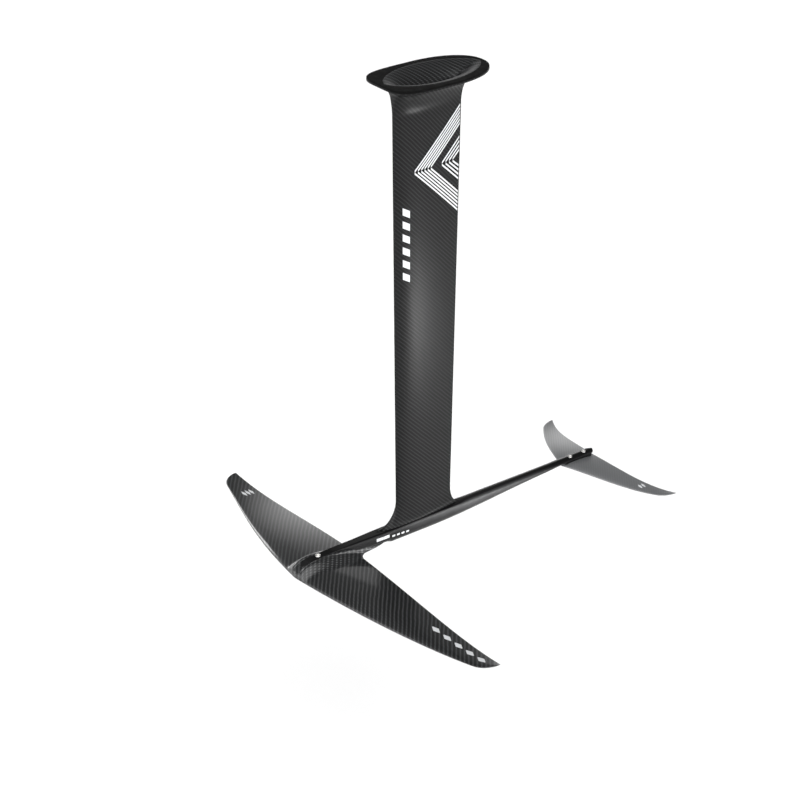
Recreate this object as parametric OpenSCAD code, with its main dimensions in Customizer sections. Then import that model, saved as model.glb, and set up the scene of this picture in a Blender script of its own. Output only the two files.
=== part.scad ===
// Hydrofoil for a wind or wing board: a carbon mast on a slim fuselage, with a front wing and a
// stabilizer bolted to it. Millimetres. The origin is on the mast head's top face, on the centre
// plane; +X points forward to the nose, +Y to port and +Z up to the board.

/* [Mast] */
// Length from the head's top face to the top of the fuselage
mast_length = 850; // [820:10:900]
// Blade chord just below the head
mast_chord_top = 145; // [141:1:148]
// Blade chord just above the foot
mast_chord_foot = 125; // [121:1:128]
// Blade thickness just below the head
mast_thick_top = 20; // [19:0.5:21]
// Blade thickness just above the foot
mast_thick_foot = 17; // [16:0.5:17.5]
// Thickness of the moulded mast skins
mast_skin = 1.8; // [1.6:0.1:2]
// Distance of the blade's nose ahead of the origin, just below the head
mast_nose_top = 75.5; // [74:0.5:77]

/* [Mast head] */
// Length of the flared head
head_length = 216; // [214:1:220]
// Width of the flared head
head_width = 128.4; // [127:0.2:132]
// Thickness of the flat rim plate
rim_thick = 3; // [2.5:0.5:3.5]
// Length of the socket's mouth
socket_length = 191; // [188:1:194]
// Width of the socket's mouth
socket_width = 94; // [90:1:96]
// Depth of the socket
socket_depth = 42; // [41:0.5:43]
// Distance between the two adapter screws
adapter_spacing = 60; // [58:1:62]
// Bore of the threaded inserts for the adapter's M8 screws
adapter_bore = 6.8; // [6.6:0.1:6.9]

/* [Fuselage] */
// Nose tip of the fuselage, ahead of the origin
fuselage_nose = 279.5; // [279:0.1:280]
// Tail end of the fuselage, behind the origin
fuselage_tail = 406; // [405:1:412]
// Depth of the fuselage under the mast
fuselage_depth = 27.5; // [26:0.5:28]
// Depth of the flat tail
tail_depth = 7.5; // [7.5:0.1:7.8]
// Half-width of the fuselage under the mast
fuselage_half_width = 12.3; // [12:0.1:12.6]

/* [Front wing] */
// Distance from the centre plane to one tip
wing_semispan = 405; // [400:1:410]
// Chord at the centre plane without the tail fairing
wing_root_chord = 135.7; // [133:0.1:138]
// Nose of the wing, ahead of the origin
wing_nose = 294.7; // [294:0.1:296]
// Height of the wing's nose line below the fuselage's top
wing_drop = 27; // [26.5:0.1:27.5]
// Thickness of the wing skins
wing_skin = 1.2; // [1:0.1:1.4]

/* [Stabilizer] */
// Distance from the centre plane to one tip
stab_semispan = 181; // [176:1:184]
// Chord at the centre plane
stab_root_chord = 78.5; // [77:0.5:80]
// Nose of the stabilizer, behind the origin
stab_nose = 328; // [327:0.5:329]
// Height of the stabilizer's nose line below the fuselage's top
stab_drop = 12.8; // [12.8:0.1:13]
// Thickness of the stabilizer skins
stab_skin = 0.9; // [0.8:0.1:1]

/* [Bolts] */
// Diameter of the front wing bolts, M6
wing_bolt = 6; // [5.8:0.1:6]
// Diameter of the stabilizer bolts, M5
stab_bolt = 5; // [4.8:0.1:5]

/* [Hidden] */

carbon = "#2b2d2f";
glossy_black = "#1b1c1d";
matte_black = "#101010";
foam = "#d9d2bd";
laminate = "#3a3c3e";
steel = "#c9ccce";
film = "#e6e8ea";

round_fn = 48;          // fineness of true circles
bond = 0.15;            // bond line between curved pieces
seam = 0.03;            // half the glue line where two moulded halves meet
film_thick = 0.15;      // decal film
film_lift = 0.04;       // lacquer under the film

// ---- shared curves ----

// Half thickness of a symmetric foil section, 1 at its thickest, with u from nose (0) to tail (1)
function foil(u) = 10 * max(0, 0.2969 * sqrt(u) - 0.1260 * u - 0.3516 * u ^ 2
                                + 0.2843 * u ^ 3 - 0.1036 * u ^ 4);
function clamp(v, low, high) = max(low, min(high, v));
function blend(a, b, k) = a + (b - a) * k;
function smooth(t) = let(k = clamp(t, 0, 1)) k * k * (3 - 2 * k);
// Chordwise stations, closer together at the nose and the tail
function chord_steps(n) = [for (i = [0:n]) (1 - cos(180 * i / n)) / 2];
// Quarter-ellipse fillet: 0 at t = 0, rising to 1 with a level end at t = 1
function fillet(t) = 1 - sqrt(1 - clamp(t, 0, 1) ^ 2);
function signed_power(v, p) = sign(v) * abs(v) ^ p;

// Closed solid through rings of equal length, with flat ends. Each ring runs anticlockwise as seen
// from where the rings are going.
module loft(rings) {
    n = len(rings[0]);
    last = len(rings) - 1;
    polyhedron(
        points = [for (ring = rings) each ring],
        faces = concat(
            [[for (i = [0:n - 1]) i]],
            [for (k = [0:last - 1], i = [0:n - 1])
                let(a = k * n + i, b = k * n + (i + 1) % n) each [[a, b + n, b], [a, a + n, b + n]]],
            [[for (i = [n - 1:-1:0]) last * n + i]]
        )
    );
}

// ---- mast ----

neck_z = -66;                      // where the blade starts to flare into the head
foot_height = 50;                  // height of the filleted foot above the fuselage
top_z = -mast_length;              // top of the fuselage
foot_z = top_z + foot_height;
mast_nose_foot = mast_nose_top - 6.5;
mast_steps = chord_steps(14);
web_x = 24;                        // the web stands at the thickest part of the section
web_thick = 4;

function down_mast(z) = (neck_z - z) / (neck_z - foot_z);
function mast_nose(z) = blend(mast_nose_top, mast_nose_foot, down_mast(z));
function mast_chord(z) = blend(mast_chord_top, mast_chord_foot, down_mast(z));
function mast_half(z) = blend(mast_thick_top, mast_thick_foot, down_mast(z)) / 2;
function mast_x(u, z) = mast_nose(z) - mast_chord(z) * u;
function mast_y(u, z) = mast_half(z) * foil(u);
// The same half thickness on the flat facets between chordwise stations
function mast_facet_y(u, z) = mast_half(z) * lookup(u, [for (s = mast_steps) [s, foil(s)]]);

// One half shell: outer face from nose to tail, then the inner face back
function mast_half_ring(z) = concat(
    [for (u = mast_steps) [mast_x(u, z), mast_y(u, z), z]],
    [for (i = [len(mast_steps) - 2:-1:1])
        let(u = mast_steps[i]) [mast_x(u, z), max(seam * foil(u), mast_y(u, z) - mast_skin), z]]
);

module mast_half_skin() {
    color(carbon) loft([for (k = [0:6]) mast_half_ring(blend(foot_z, neck_z, k / 6))]);
}
module mast_skin_port() { mast_half_skin(); }
module mast_skin_starboard() { mirror([0, 1, 0]) mast_half_skin(); }

// Section of the hollow between the skins, from station u_front to u_rear
function hollow_half(u, z) = mast_facet_y(u, z) - mast_skin - bond;
function hollow_ring(u_front, u_rear, z, n = 10) = let(
    us = [for (i = [0:n]) blend(u_front, u_rear, i / n)]
) concat(
    [for (u = us) [mast_x(u, z), hollow_half(u, z), z]],
    [for (i = [n:-1:0]) [mast_x(us[i], z), -hollow_half(us[i], z), z]]
);
function mast_u(x, z) = (mast_nose(z) - x) / mast_chord(z);

core_bottom = foot_z + 0.5;
core_top = neck_z - 0.5;
module mast_shear_web() {
    color(laminate) loft([for (z = [core_bottom, core_top])
        hollow_ring(mast_u(web_x + web_thick / 2, z), mast_u(web_x - web_thick / 2, z), z, 1)]);
}
module mast_core_front() {
    color(foam) loft([for (z = [core_bottom, core_top])
        hollow_ring(0.035, mast_u(web_x + web_thick / 2 + bond, z), z)]);
}
module mast_core_rear() {
    color(foam) loft([for (z = [core_bottom, core_top])
        hollow_ring(mast_u(web_x - web_thick / 2 - bond, z), 0.86, z)]);
}

// Foot: the blade section with fillets that grow towards the fuselage
foot_reach_front = 46;
foot_reach_rear = 22;
foot_side_height = 12;
foot_side_reach = 1.6;
function foot_ring(h) = let(
    z = foot_z,
    front = foot_reach_front * fillet(1 - h / foot_height),
    rear = foot_reach_rear * fillet(1 - h / 36),
    side = foot_side_reach * fillet(1 - h / foot_side_height),
    n = len(mast_steps) - 1
) [for (i = [0:2 * n - 1])
    let(angle = 180 * i / n, u = (1 - cos(angle)) / 2, k = 1 - u)
    [mast_x(u, z) + front * k ^ 3 - rear * u ^ 3,
     sign(sin(angle)) * (mast_y(u, z)) + side * sin(angle),
     top_z + h]];

foot_heights = [0, 2, 4, 7, 11, 16, 22, 30, 40, foot_height];
module mast_foot() {
    color(carbon) loft([for (h = foot_heights) foot_ring(h)]);
}

// ---- mast head ----

head_shift = -7;                   // the head's middle lies a little behind the origin
head_points = 48;
front_fullness = 4.5;              // exponents of the egg-shaped outline: blunt nose, slim rear
rear_fullness = 2.2;
function head_outline(angle) = let(
    p = 2 / (cos(angle) > 0 ? front_fullness : rear_fullness)
) [head_shift + head_length / 2 * signed_power(cos(angle), p),
   head_width / 2 * signed_power(sin(angle), p)];

flange_wall = 2.5;                 // upright edge of the head below the rim plate
nose_flare = 22;                   // height over which the nose flares out
flange_z = -rim_thick - flange_wall;
neck_height = flange_z - neck_z;
// The sides flare out over the whole neck, the nose only close below the flange
function head_ring(z) = let(
        w_side = fillet((z - neck_z) / neck_height),
        w_nose = fillet((z - flange_z + nose_flare) / nose_flare))
    [for (i = [0:head_points - 1])
        let(angle = 360 * i / head_points, u = (1 - cos(angle)) / 2, out = head_outline(angle),
            w = blend(w_side, w_nose, smooth(cos(angle) / 0.6)))
        [blend(mast_x(u, neck_z), out.x, w),
         blend(sign(sin(angle)) * mast_y(u, neck_z), out.y, w_side), z]];

socket_front = 88;                 // front end of the mouth
socket_floor_front = 54;
socket_floor_half_width = 8;
mouth_peak = 0.4148;               // greatest value of the mouth's curve
function mouth_point(angle) = let(u = (1 - cos(angle)) / 2)
    [socket_front - socket_length * u,
     sign(sin(angle)) * socket_width / 2 * (max(u, 0) ^ 0.62) * (max(1 - u, 0) ^ 0.65) / mouth_peak];
function floor_point(angle) =
    [socket_floor_front * signed_power(cos(angle), 0.8),
     socket_floor_half_width * signed_power(sin(angle), 0.5)];
// Ring of the funnel-shaped socket, at a depth below the head's top face
function socket_ring(depth, z) = let(w = (1 - depth / socket_depth) ^ 3.3)
    [for (i = [0:head_points - 1])
        let(angle = 360 * i / head_points, m = mouth_point(angle), f = floor_point(angle))
        [blend(f.x, m.x, w), blend(f.y, m.y, w), z]];

liner_thick = 1.2;
socket_depths = [0, 1, 2.2, 3.8, 6, 9, 13, 18, 25, 33, socket_depth];
// Outer face of the liner: the socket's own surface, moved down by the liner's thickness
function liner_outer(i, gap) = let(d = socket_depths[i])
    socket_ring(d, -d - liner_thick - gap);

module socket_cut() {
    // the liner's outer face, carried on above the head
    rises = [-2, -1, 0, 1, 2.2, 3.8, 6, 9];
    loft([for (i = [len(rises) - 1:-1:0]) socket_ring(rises[i], -rises[i] - liner_thick)]);
}

module head_rim() {
    color(matte_black) difference() {
        translate([0, 0, -rim_thick]) linear_extrude(rim_thick)
            polygon([for (i = [0:95]) head_outline(360 * i / 96)]);
        socket_cut();
    }
}

module head_socket_liner() {
    n = len(socket_depths) - 1;
    screw_r = insert_r + 0.1;
    color(carbon) difference() {
        loft(concat(
            [for (i = [n:-1:1]) liner_outer(i, 0)],
            [socket_ring(-liner_thick, 0)],
            [for (i = [0:n]) socket_ring(socket_depths[i], -socket_depths[i])]
        ));
        for (x = adapter_xs) translate([x, 0, -socket_depth - liner_thick - 1])
            cylinder(h = liner_thick + 2, r = screw_r, $fn = round_fn);
    }
}

insert_r = 5.5;
insert_length = 14;
adapter_xs = [adapter_spacing / 2, -adapter_spacing / 2];
module mast_head() {
    n = len(socket_depths) - 1;
    neck_zs = concat([for (t = [0, 0.25, 0.45, 0.62, 0.72, 0.8, 0.87, 0.93, 0.97, 1]) neck_z + neck_height * t],
                     [-rim_thick]);
    // inner rings below the rim plate
    inner = [for (i = [0:n]) if (socket_depths[i] + liner_thick > rim_thick + 0.3) i];
    rim_depth = rim_thick - liner_thick;
    color(carbon) difference() {
        loft(concat(
            [for (z = neck_zs) head_ring(z)],
            [socket_ring(rim_depth - 0.05, -rim_thick)],
            [for (i = inner) liner_outer(i, 0.05)]
        ));
        for (x = adapter_xs)
            translate([x, 0, -socket_depth - insert_length])
                cylinder(h = insert_length + 1, r = insert_r + 0.02, $fn = round_fn);
    }
}

module head_threaded_inserts() {
    color(steel) for (x = adapter_xs)
        translate([x, 0, -socket_depth - insert_length]) difference() {
            cylinder(h = insert_length, r = insert_r, $fn = round_fn);
            translate([0, 0, 2]) cylinder(h = insert_length, r = adapter_bore / 2, $fn = round_fn);
        }
}

// ---- front wing ----

wing_z = top_z - wing_drop;
fairing_end = 95;                  // where the root's tail fairing stops
fairing_half_width = 10;
fairing_fillet = 16;
wing_hump = 14.5;                  // extra height of the root where the fuselage is let in
wing_hump_flat = 12.5;
wing_hump_edge = 30;
wing_tip_start = 0.92;

function span_share(y) = min(1, abs(y) / wing_semispan);
function tip_round(s, start) = s < start ? 1 : sqrt(max(0, 1 - ((s - start) / (1 - start)) ^ 3));
function wing_sweep(s) = 42.2 * s + 106.6 * s ^ 2 - 38.6 * s ^ 4;
function wing_base_chord(s) = wing_root_chord * (1 - 0.37 * s - 0.59 * s ^ 2 + 0.19 * s ^ 4);
function wing_droop(s) = 67.2 * s ^ 2 - 46.2 * s ^ 4;
fairing_reach = wing_nose - wing_root_chord - fairing_end;
// How far the root reaches behind the straight tail line: a fillet, then a bullet-shaped fairing
function fairing(y) = let(a = abs(y), edge = fairing_half_width + fairing_fillet)
    a >= edge ? 0
    : a >= fairing_half_width ? fairing_fillet - sqrt(fairing_fillet ^ 2 - (edge - a) ^ 2)
    : fairing_fillet + (fairing_reach - fairing_fillet) * sqrt(1 - (a / fairing_half_width) ^ 2);
function wing_tail_x(y) = let(s = span_share(y))
    wing_nose - wing_sweep(s) - wing_base_chord(s) - fairing(y);
function wing_chord(y) = let(s = span_share(y))
    (wing_base_chord(s) + fairing(y)) * tip_round(s, wing_tip_start);
function wing_x(u, y) = wing_tail_x(y) + wing_chord(y) * (1 - u);
function wing_u(x, y) = (wing_tail_x(y) + wing_chord(y) - x) / wing_chord(y);
function wing_mid(u, y) = let(s = span_share(y))
    wing_z - wing_droop(s) + 3 * fairing(y) / fairing_reach * clamp(u, 0, 1) ^ 2;
function wing_hump_at(y) =
    wing_hump * (1 - smooth((abs(y) - wing_hump_flat) / (wing_hump_edge - wing_hump_flat)));
function tip_thin(s) = tip_round(s, wing_tip_start) ^ 0.5;
function wing_crown(y) = let(s = span_share(y)) (2 + 9 * (1 - s) ^ 1.1) * tip_thin(s) + wing_hump_at(y);
function wing_belly(y) = let(s = span_share(y)) (1 + 4 * (1 - s)) * tip_thin(s);
function wing_top(u, y) = wing_mid(u, y) + wing_crown(y) * foil(u);
function wing_bottom(u, y) = wing_mid(u, y) - wing_belly(y) * foil(u);
// Height of the upper face over a point, or far below where the wing doesn't reach
function wing_over(x, y) = let(u = wing_u(x, y)) u < 0 || u > 1 ? -2000 : wing_top(u, y);

wing_steps = chord_steps(14);
half_span_shares = [0.02, 0.0249, 0.0309, 0.038, 0.045, 0.056, 0.0646, 0.0741, 0.085, 0.12, 0.18, 0.26,
                    0.36, 0.46, 0.56, 0.66, 0.75, 0.83, 0.89, 0.92, 0.945, 0.965, 0.98, 0.99, 0.996, 0.9995];
function mirrored(list) = concat([for (i = [len(list) - 1:-1:0]) -list[i]], [0], list);
wing_ys = [for (s = mirrored(half_span_shares)) s * wing_semispan];

// Skins reach inwards from a face by their thickness, but never past the seam on the mid surface
function upper_inner(u, mid, top, skin) = max(mid + seam * foil(u), top - skin);
function lower_inner(u, mid, bottom, skin) = min(mid - seam * foil(u), bottom + skin);
// One closed ring from the tail over `over` to the nose and back along `under`
function skin_ring(xs, y, over, under) = let(n = len(xs) - 1) concat(
    [for (i = [n:-1:0]) [xs[i], y, over[i]]],
    [for (i = [1:n - 1]) [xs[i], y, under[i]]]
);
function upper_ring(y) = skin_ring(
    [for (u = wing_steps) wing_x(u, y)], y,
    [for (u = wing_steps) wing_top(u, y)],
    [for (u = wing_steps) upper_inner(u, wing_mid(u, y), wing_top(u, y), wing_skin)]
);
function lower_ring(y) = skin_ring(
    [for (u = wing_steps) wing_x(u, y)], y,
    [for (u = wing_steps) lower_inner(u, wing_mid(u, y), wing_bottom(u, y), wing_skin)],
    [for (u = wing_steps) wing_bottom(u, y)]
);

// The slot in the root that takes the fuselage's tongue: straight sides, a round front end and a
// floor that falls towards the tail
tongue_half_width = 8;
slot_gap = 0.2;
slot_end = fuselage_nose - tongue_half_width;
function slot_floor(x) = top_z - 16 - 0.0403 * (281 - x);
module wing_slot() {
    slot_half = tongue_half_width + slot_gap;
    intersection() {
        translate([0, 0, wing_z - 10]) linear_extrude(50) union() {
            translate([60, -slot_half]) square([slot_end - 60, 2 * slot_half]);
            translate([slot_end, 0]) circle(r = slot_half, $fn = round_fn);
        }
        rotate([90, 0, 0]) translate([0, 0, -20]) linear_extrude(40)
            polygon([[50, slot_floor(50)], [300, slot_floor(300)], [300, wing_z + 60], [50, wing_z + 60]]);
    }
}

nose_bolt_x = 243;
lower_bolt_xs = [205, 165];
module front_wing_upper_skin() {
    color(carbon) difference() {
        loft([for (y = wing_ys) upper_ring(y)]);
        wing_slot();
    }
}
module front_wing_lower_skin() {
    color(carbon) difference() {
        loft([for (y = wing_ys) lower_ring(y)]);
        for (x = lower_bolt_xs) lower_bolt_hole(x, 0.15);
    }
}

// Section of the space between the skins
function filling(height, u, gap) = max(0.1, height * foil(u) - gap) + 0.02 * foil(u);
function fill_steps(u_front, u_rear, n) = [for (k = chord_steps(n)) blend(u_front, u_rear, k)];
function wing_fill_ring(y, u_front, u_rear, n) = let(
    us = fill_steps(u_front, u_rear, n),
    gap = wing_skin + bond
) concat(
    [for (i = [n:-1:0]) let(u = us[i])
        [wing_x(u, y), y, wing_mid(u, y) + filling(wing_crown(y), u, gap)]],
    [for (u = us) [wing_x(u, y), y, wing_mid(u, y) - filling(wing_belly(y), u, gap)]]
);
block_half_width = 12.2;
module front_wing_root_block() {
    ys = [-block_half_width, -10, -8, -5, 0, 5, 8, 10, block_half_width];
    color(laminate) difference() {
        loft([for (y = ys) wing_fill_ring(y, 0.02, 0.9, 12)]);
        wing_slot();
        for (x = lower_bolt_xs) lower_bolt_hole(x, 0.15);
        translate([nose_bolt_x, 0, nose_insert_z]) cylinder(h = 30, r = nose_insert_r + 0.02, $fn = round_fn);
    }
}
core_shares = [0.0309, 0.038, 0.045, 0.056, 0.0646, 0.0741, 0.085, 0.12, 0.2, 0.3,
               0.42, 0.54, 0.66, 0.76, 0.83];
module wing_core_half() {
    color(foam) loft([for (s = core_shares)
        wing_fill_ring(s * wing_semispan, 0.03 + 0.05 * s, 0.93 - 0.1 * s, 10)]);
}
module front_wing_core_port() { wing_core_half(); }
module front_wing_core_starboard() { mirror([0, 1, 0]) wing_core_half(); }

// Nose bolt, from above through the tongue into the insert in the root block
nose_insert_r = 5;
nose_insert_length = 10;
nose_insert_z = slot_floor(nose_bolt_x) - nose_insert_length - 0.2;
nose_seat_z = top_z - 4;
cap_head_r = 5;
cap_head_height = 4.6;
module cap_bolt(head_r, head_height, shank_r, shank_length, key) {
    difference() {
        union() {
            cylinder(h = head_height, r = head_r, $fn = round_fn);
            translate([0, 0, -shank_length]) cylinder(h = shank_length, r = shank_r, $fn = round_fn);
        }
        translate([0, 0, head_height * 0.45]) cylinder(h = head_height, r = key / 2 / cos(30), $fn = 6);
    }
}
module front_wing_nose_bolt() {
    shank = nose_seat_z - nose_insert_z - 2;
    color(steel) translate([nose_bolt_x, 0, nose_seat_z])
        cap_bolt(cap_head_r, cap_head_height, wing_bolt / 2 - 0.05, shank, 5);
}
module front_wing_nose_insert() {
    color(steel) translate([nose_bolt_x, 0, nose_insert_z]) difference() {
        cylinder(h = nose_insert_length, r = nose_insert_r, $fn = round_fn);
        translate([0, 0, 1]) cylinder(h = nose_insert_length, r = wing_bolt / 2, $fn = round_fn);
    }
}

// Lower bolts, countersunk into the belly, into inserts in the tongue
countersunk_r = 5.8;
countersunk_height = 3.3;
fuselage_insert_r = 4.8;
fuselage_insert_length = 12;
function belly_z(x) = wing_bottom(wing_u(x, 0), 0);
module lower_bolt_hole(x, gap) {
    bottom = belly_z(x);
    translate([x, 0, bottom]) {
        cylinder(h = 40, r = wing_bolt / 2 + gap, $fn = round_fn);
        cylinder(h = countersunk_height, r1 = countersunk_r + gap, r2 = wing_bolt / 2 + gap, $fn = round_fn);
        translate([0, 0, -3]) cylinder(h = 3, r = countersunk_r + gap, $fn = round_fn);
    }
}
module front_wing_lower_bolts() {
    color(steel) for (x = lower_bolt_xs) {
        bottom = belly_z(x) + 0.2;
        shank_end = slot_floor(x) + fuselage_insert_length - 1.5;
        shank_r = wing_bolt / 2 - 0.05;
        translate([x, 0, bottom]) difference() {
            union() {
                cylinder(h = countersunk_height, r1 = countersunk_r, r2 = shank_r, $fn = round_fn);
                cylinder(h = shank_end - bottom, r = shank_r, $fn = round_fn);
            }
            translate([0, 0, -1]) cylinder(h = 3, r = 4 / 2 / cos(30), $fn = 6);
        }
    }
}
module fuselage_inserts() {
    color(steel) for (x = lower_bolt_xs) translate([x, 0, slot_floor(x) + 0.2]) difference() {
        cylinder(h = fuselage_insert_length, r = fuselage_insert_r, $fn = round_fn);
        translate([0, 0, -1]) cylinder(h = fuselage_insert_length, r = wing_bolt / 2, $fn = round_fn);
    }
}

// ---- stabilizer ----

stab_z = top_z - stab_drop;
stab_tip_start = 0.9;
function stab_share(y) = min(1, abs(y) / stab_semispan);
function stab_sweep(s) = 65.0 * s + 39.0 * s ^ 2 + 6.3 * s ^ 4;
function stab_base_chord(s) = stab_root_chord * (1 - 0.72 * s + 0.02 * s ^ 2);
function stab_tail_x(y) = let(s = stab_share(y)) -stab_nose - stab_sweep(s) - stab_base_chord(s);
function stab_chord(y) = let(s = stab_share(y)) stab_base_chord(s) * tip_round(s, stab_tip_start);
function stab_x(u, y) = stab_tail_x(y) + stab_chord(y) * (1 - u);
function stab_u(x, y) = (stab_tail_x(y) + stab_chord(y) - x) / stab_chord(y);
function stab_mid(y) = let(s = stab_share(y)) stab_z - (45.2 * s ^ 2 - 22.1 * s ^ 4);
function stab_half(y) = let(s = stab_share(y)) (1.3 + 3.2 * (1 - s)) * tip_round(s, stab_tip_start) ^ 0.5;
function stab_top(u, y) = stab_mid(y) + stab_half(y) * foil(u);
function stab_bottom(u, y) = stab_mid(y) - stab_half(y) * foil(u);

stab_steps = chord_steps(12);
stab_half_shares = [0.05, 0.12, 0.22, 0.34, 0.46, 0.58, 0.7, 0.8, 0.9, 0.935, 0.96, 0.98, 0.993, 0.9995];
stab_ys = [for (s = mirrored(stab_half_shares)) s * stab_semispan];
function stab_upper_ring(y) = skin_ring(
    [for (u = stab_steps) stab_x(u, y)], y,
    [for (u = stab_steps) stab_top(u, y)],
    [for (u = stab_steps) upper_inner(u, stab_mid(y), stab_top(u, y), stab_skin)]
);
function stab_lower_ring(y) = skin_ring(
    [for (u = stab_steps) stab_x(u, y)], y,
    [for (u = stab_steps) lower_inner(u, stab_mid(y), stab_bottom(u, y), stab_skin)],
    [for (u = stab_steps) stab_bottom(u, y)]
);
stab_bolt_xs = [-350, -384];
tee_barrel_r = 3.6;
tee_flange_r = 5.6;
tee_flange_thick = 1;
module stab_shank_holes(gap) {
    for (x = stab_bolt_xs) translate([x, 0, stab_z])
        cylinder(h = 30, r = stab_bolt / 2 + gap, $fn = round_fn);
}
module tee_holes(gap) {
    for (x = stab_bolt_xs) translate([x, 0, tee_bottom(x)]) {
        translate([0, 0, -2])
            cylinder(h = 2 + tee_flange_thick + gap, r = tee_flange_r + gap, $fn = round_fn);
        cylinder(h = tee_length(x) + gap, r = tee_barrel_r + gap, $fn = round_fn);
    }
}
function tee_bottom(x) = stab_bottom(stab_u(x, 0), 0) + 0.1;
function tee_length(x) = stab_top(stab_u(x, 0), 0) - stab_skin - 0.2 - tee_bottom(x);
module stabilizer_upper_skin() {
    color(carbon) difference() {
        loft([for (y = stab_ys) stab_upper_ring(y)]);
        stab_shank_holes(0.2);
    }
}
module stabilizer_lower_skin() {
    color(carbon) difference() {
        loft([for (y = stab_ys) stab_lower_ring(y)]);
        tee_holes(0.05);
    }
}
function stab_fill_ring(y, u_front, u_rear, n) = let(
    us = fill_steps(u_front, u_rear, n),
    gap = stab_skin + bond
) concat(
    [for (i = [n:-1:0]) [stab_x(us[i], y), y, stab_mid(y) + filling(stab_half(y), us[i], gap)]],
    [for (u = us) [stab_x(u, y), y, stab_mid(y) - filling(stab_half(y), u, gap)]]
);
stab_block_half_width = 9;
module stabilizer_root_block() {
    color(laminate) difference() {
        loft([for (y = [-stab_block_half_width, 0, stab_block_half_width])
            stab_fill_ring(y, 0.03, 0.93, 10)]);
        stab_shank_holes(0.2);
        tee_holes(0.05);
    }
}
module stab_core_half() {
    color(foam) loft([for (s = [0.053, 0.12, 0.22, 0.34, 0.46, 0.58, 0.68])
        stab_fill_ring(s * stab_semispan, 0.06 + 0.05 * s, 0.79 - 0.12 * s, 6)]);
}
module stabilizer_core_port() { stab_core_half(); }
module stabilizer_core_starboard() { mirror([0, 1, 0]) stab_core_half(); }

// The saddle fills the space between the tail's flat underside and the stabilizer's upper face
saddle_half_width = 8;
saddle_top = top_z - tail_depth - 0.1;
module stabilizer_saddle() {
    xs = [for (k = [0:10]) -stab_nose - 6 - 6.6 * k];
    color(matte_black) difference() {
        loft([for (k = [10:-1:0]) let(x = xs[k], w = saddle_half_width)
            [[x, -w, saddle_top], [x, -w, stab_top(stab_u(x, w), w) + bond],
             [x, 0, stab_top(stab_u(x, 0), 0) + bond],
             [x, w, stab_top(stab_u(x, w), w) + bond], [x, w, saddle_top]]]);
        stab_shank_holes(0.2);
    }
}
module stabilizer_tee_nuts() {
    color(steel) for (x = stab_bolt_xs) translate([x, 0, tee_bottom(x)]) difference() {
        union() {
            cylinder(h = tee_flange_thick, r = tee_flange_r, $fn = round_fn);
            cylinder(h = tee_length(x), r = tee_barrel_r, $fn = round_fn);
        }
        translate([0, 0, -1]) cylinder(h = 20, r = stab_bolt / 2, $fn = round_fn);
    }
}
stab_head_r = 4.25;
stab_seat_z = top_z - 2.4;
module stabilizer_bolts() {
    color(steel) for (x = stab_bolt_xs) translate([x, 0, stab_seat_z])
        cap_bolt(stab_head_r, 3.4, stab_bolt / 2 - 0.05, stab_seat_z - tee_bottom(x) - 1, 3);
}

// ---- fuselage ----

tail_round = 11;                   // length of the rounded tail end
tail_step = 2.5;                   // the flat tail's underside is cut back by this much for the saddle
function fuse_depth(x) = fuselage_depth - tail_step * (1 - smooth((x + 330) / 60))
    - (fuselage_depth - tail_step - tail_depth) * smooth(-x / 330);
function fuse_width(x) =
    x > 95 ? blend(fuselage_half_width, tongue_half_width, smooth((x - 95) / 120))
    : blend(fuselage_half_width, 9.6, smooth((-60 - x) / 280));
function nose_round(x) = x > slot_end
    ? sqrt(max(0, 1 - ((x - slot_end) / tongue_half_width) ^ 2)) : 1;
function tail_round_at(x) = let(t = (-fuselage_tail + tail_round - x) / tail_round)
    t <= 0 ? 1 : sqrt(max(0, 1 - t * t));
// The blade's top runs level, then dips with the wing's crown to the nose
function fuse_top(x) = x < 215 ? top_z
    : x < 245 ? blend(top_z, top_z - 0.9, (x - 215) / 30)
    : min(top_z - 0.9, wing_over(x, tongue_half_width) + 0.6);
clear = 0.3;
// Right half of a section in [y, z], from the top centre round to the bottom centre
function fuse_half(x) = let(
    k = nose_round(x) * tail_round_at(x),
    w = fuse_width(x),
    top = fuse_top(x),
    in_wing = x > fairing_end - 4,
    floor_z = in_wing ? max(slot_floor(x) + 0.1, top - 40) : top_z - fuse_depth(x),
    deep = top - floor_z,
    joint = max(floor_z, wing_over(x, w) + clear),
    joint_in = max(floor_z, wing_over(x, tongue_half_width) + clear),
    z_side = in_wing ? max(floor_z + 0.22 * deep, min(top - 2, joint)) : floor_z + 0.3 * deep,
    z_step = in_wing ? max(floor_z + 0.16 * deep, min(top - 2.6, joint_in)) : floor_z + 0.08 * deep,
    flat_w = blend(0.74 * w, w - 0.5, smooth((x - 150) / 60))
) [
    [0, top],
    [flat_w * k, top],
    [blend(flat_w, w, 0.7) * k, top - min(1.1, 0.12 * deep)],
    [w * k, blend(top, z_side, 0.45)],
    [(in_wing ? w : 0.97 * w) * k, z_side],
    [(in_wing ? tongue_half_width : 0.75 * w) * k, z_step],
    [(in_wing ? tongue_half_width : 0.4 * w) * k, floor_z],
    [0, floor_z]
];
// Section of the port shell, anticlockwise as seen from the nose
function shell_ring(x) = let(h = fuse_half(x)) [for (i = [len(h) - 1:-1:0]) [x, h[i].x, h[i].y]];
fuse_xs = concat(
    [for (d = [0.15, 1, 2.6, 5.5, tail_round]) -fuselage_tail + d],
    [-370, -330, -315, -300, -285, -270, -240, -210, -180, -150, -120, -90, -60, -20, 30, 70, 90.9],
    [95, 105, 118, 130, 142, 155, 170, 185, 200, 215, 225, 235, 245, 255, 263, slot_end],
    [for (d = [4, 2, 0.9, 0.15]) fuselage_nose - d]
);
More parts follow.
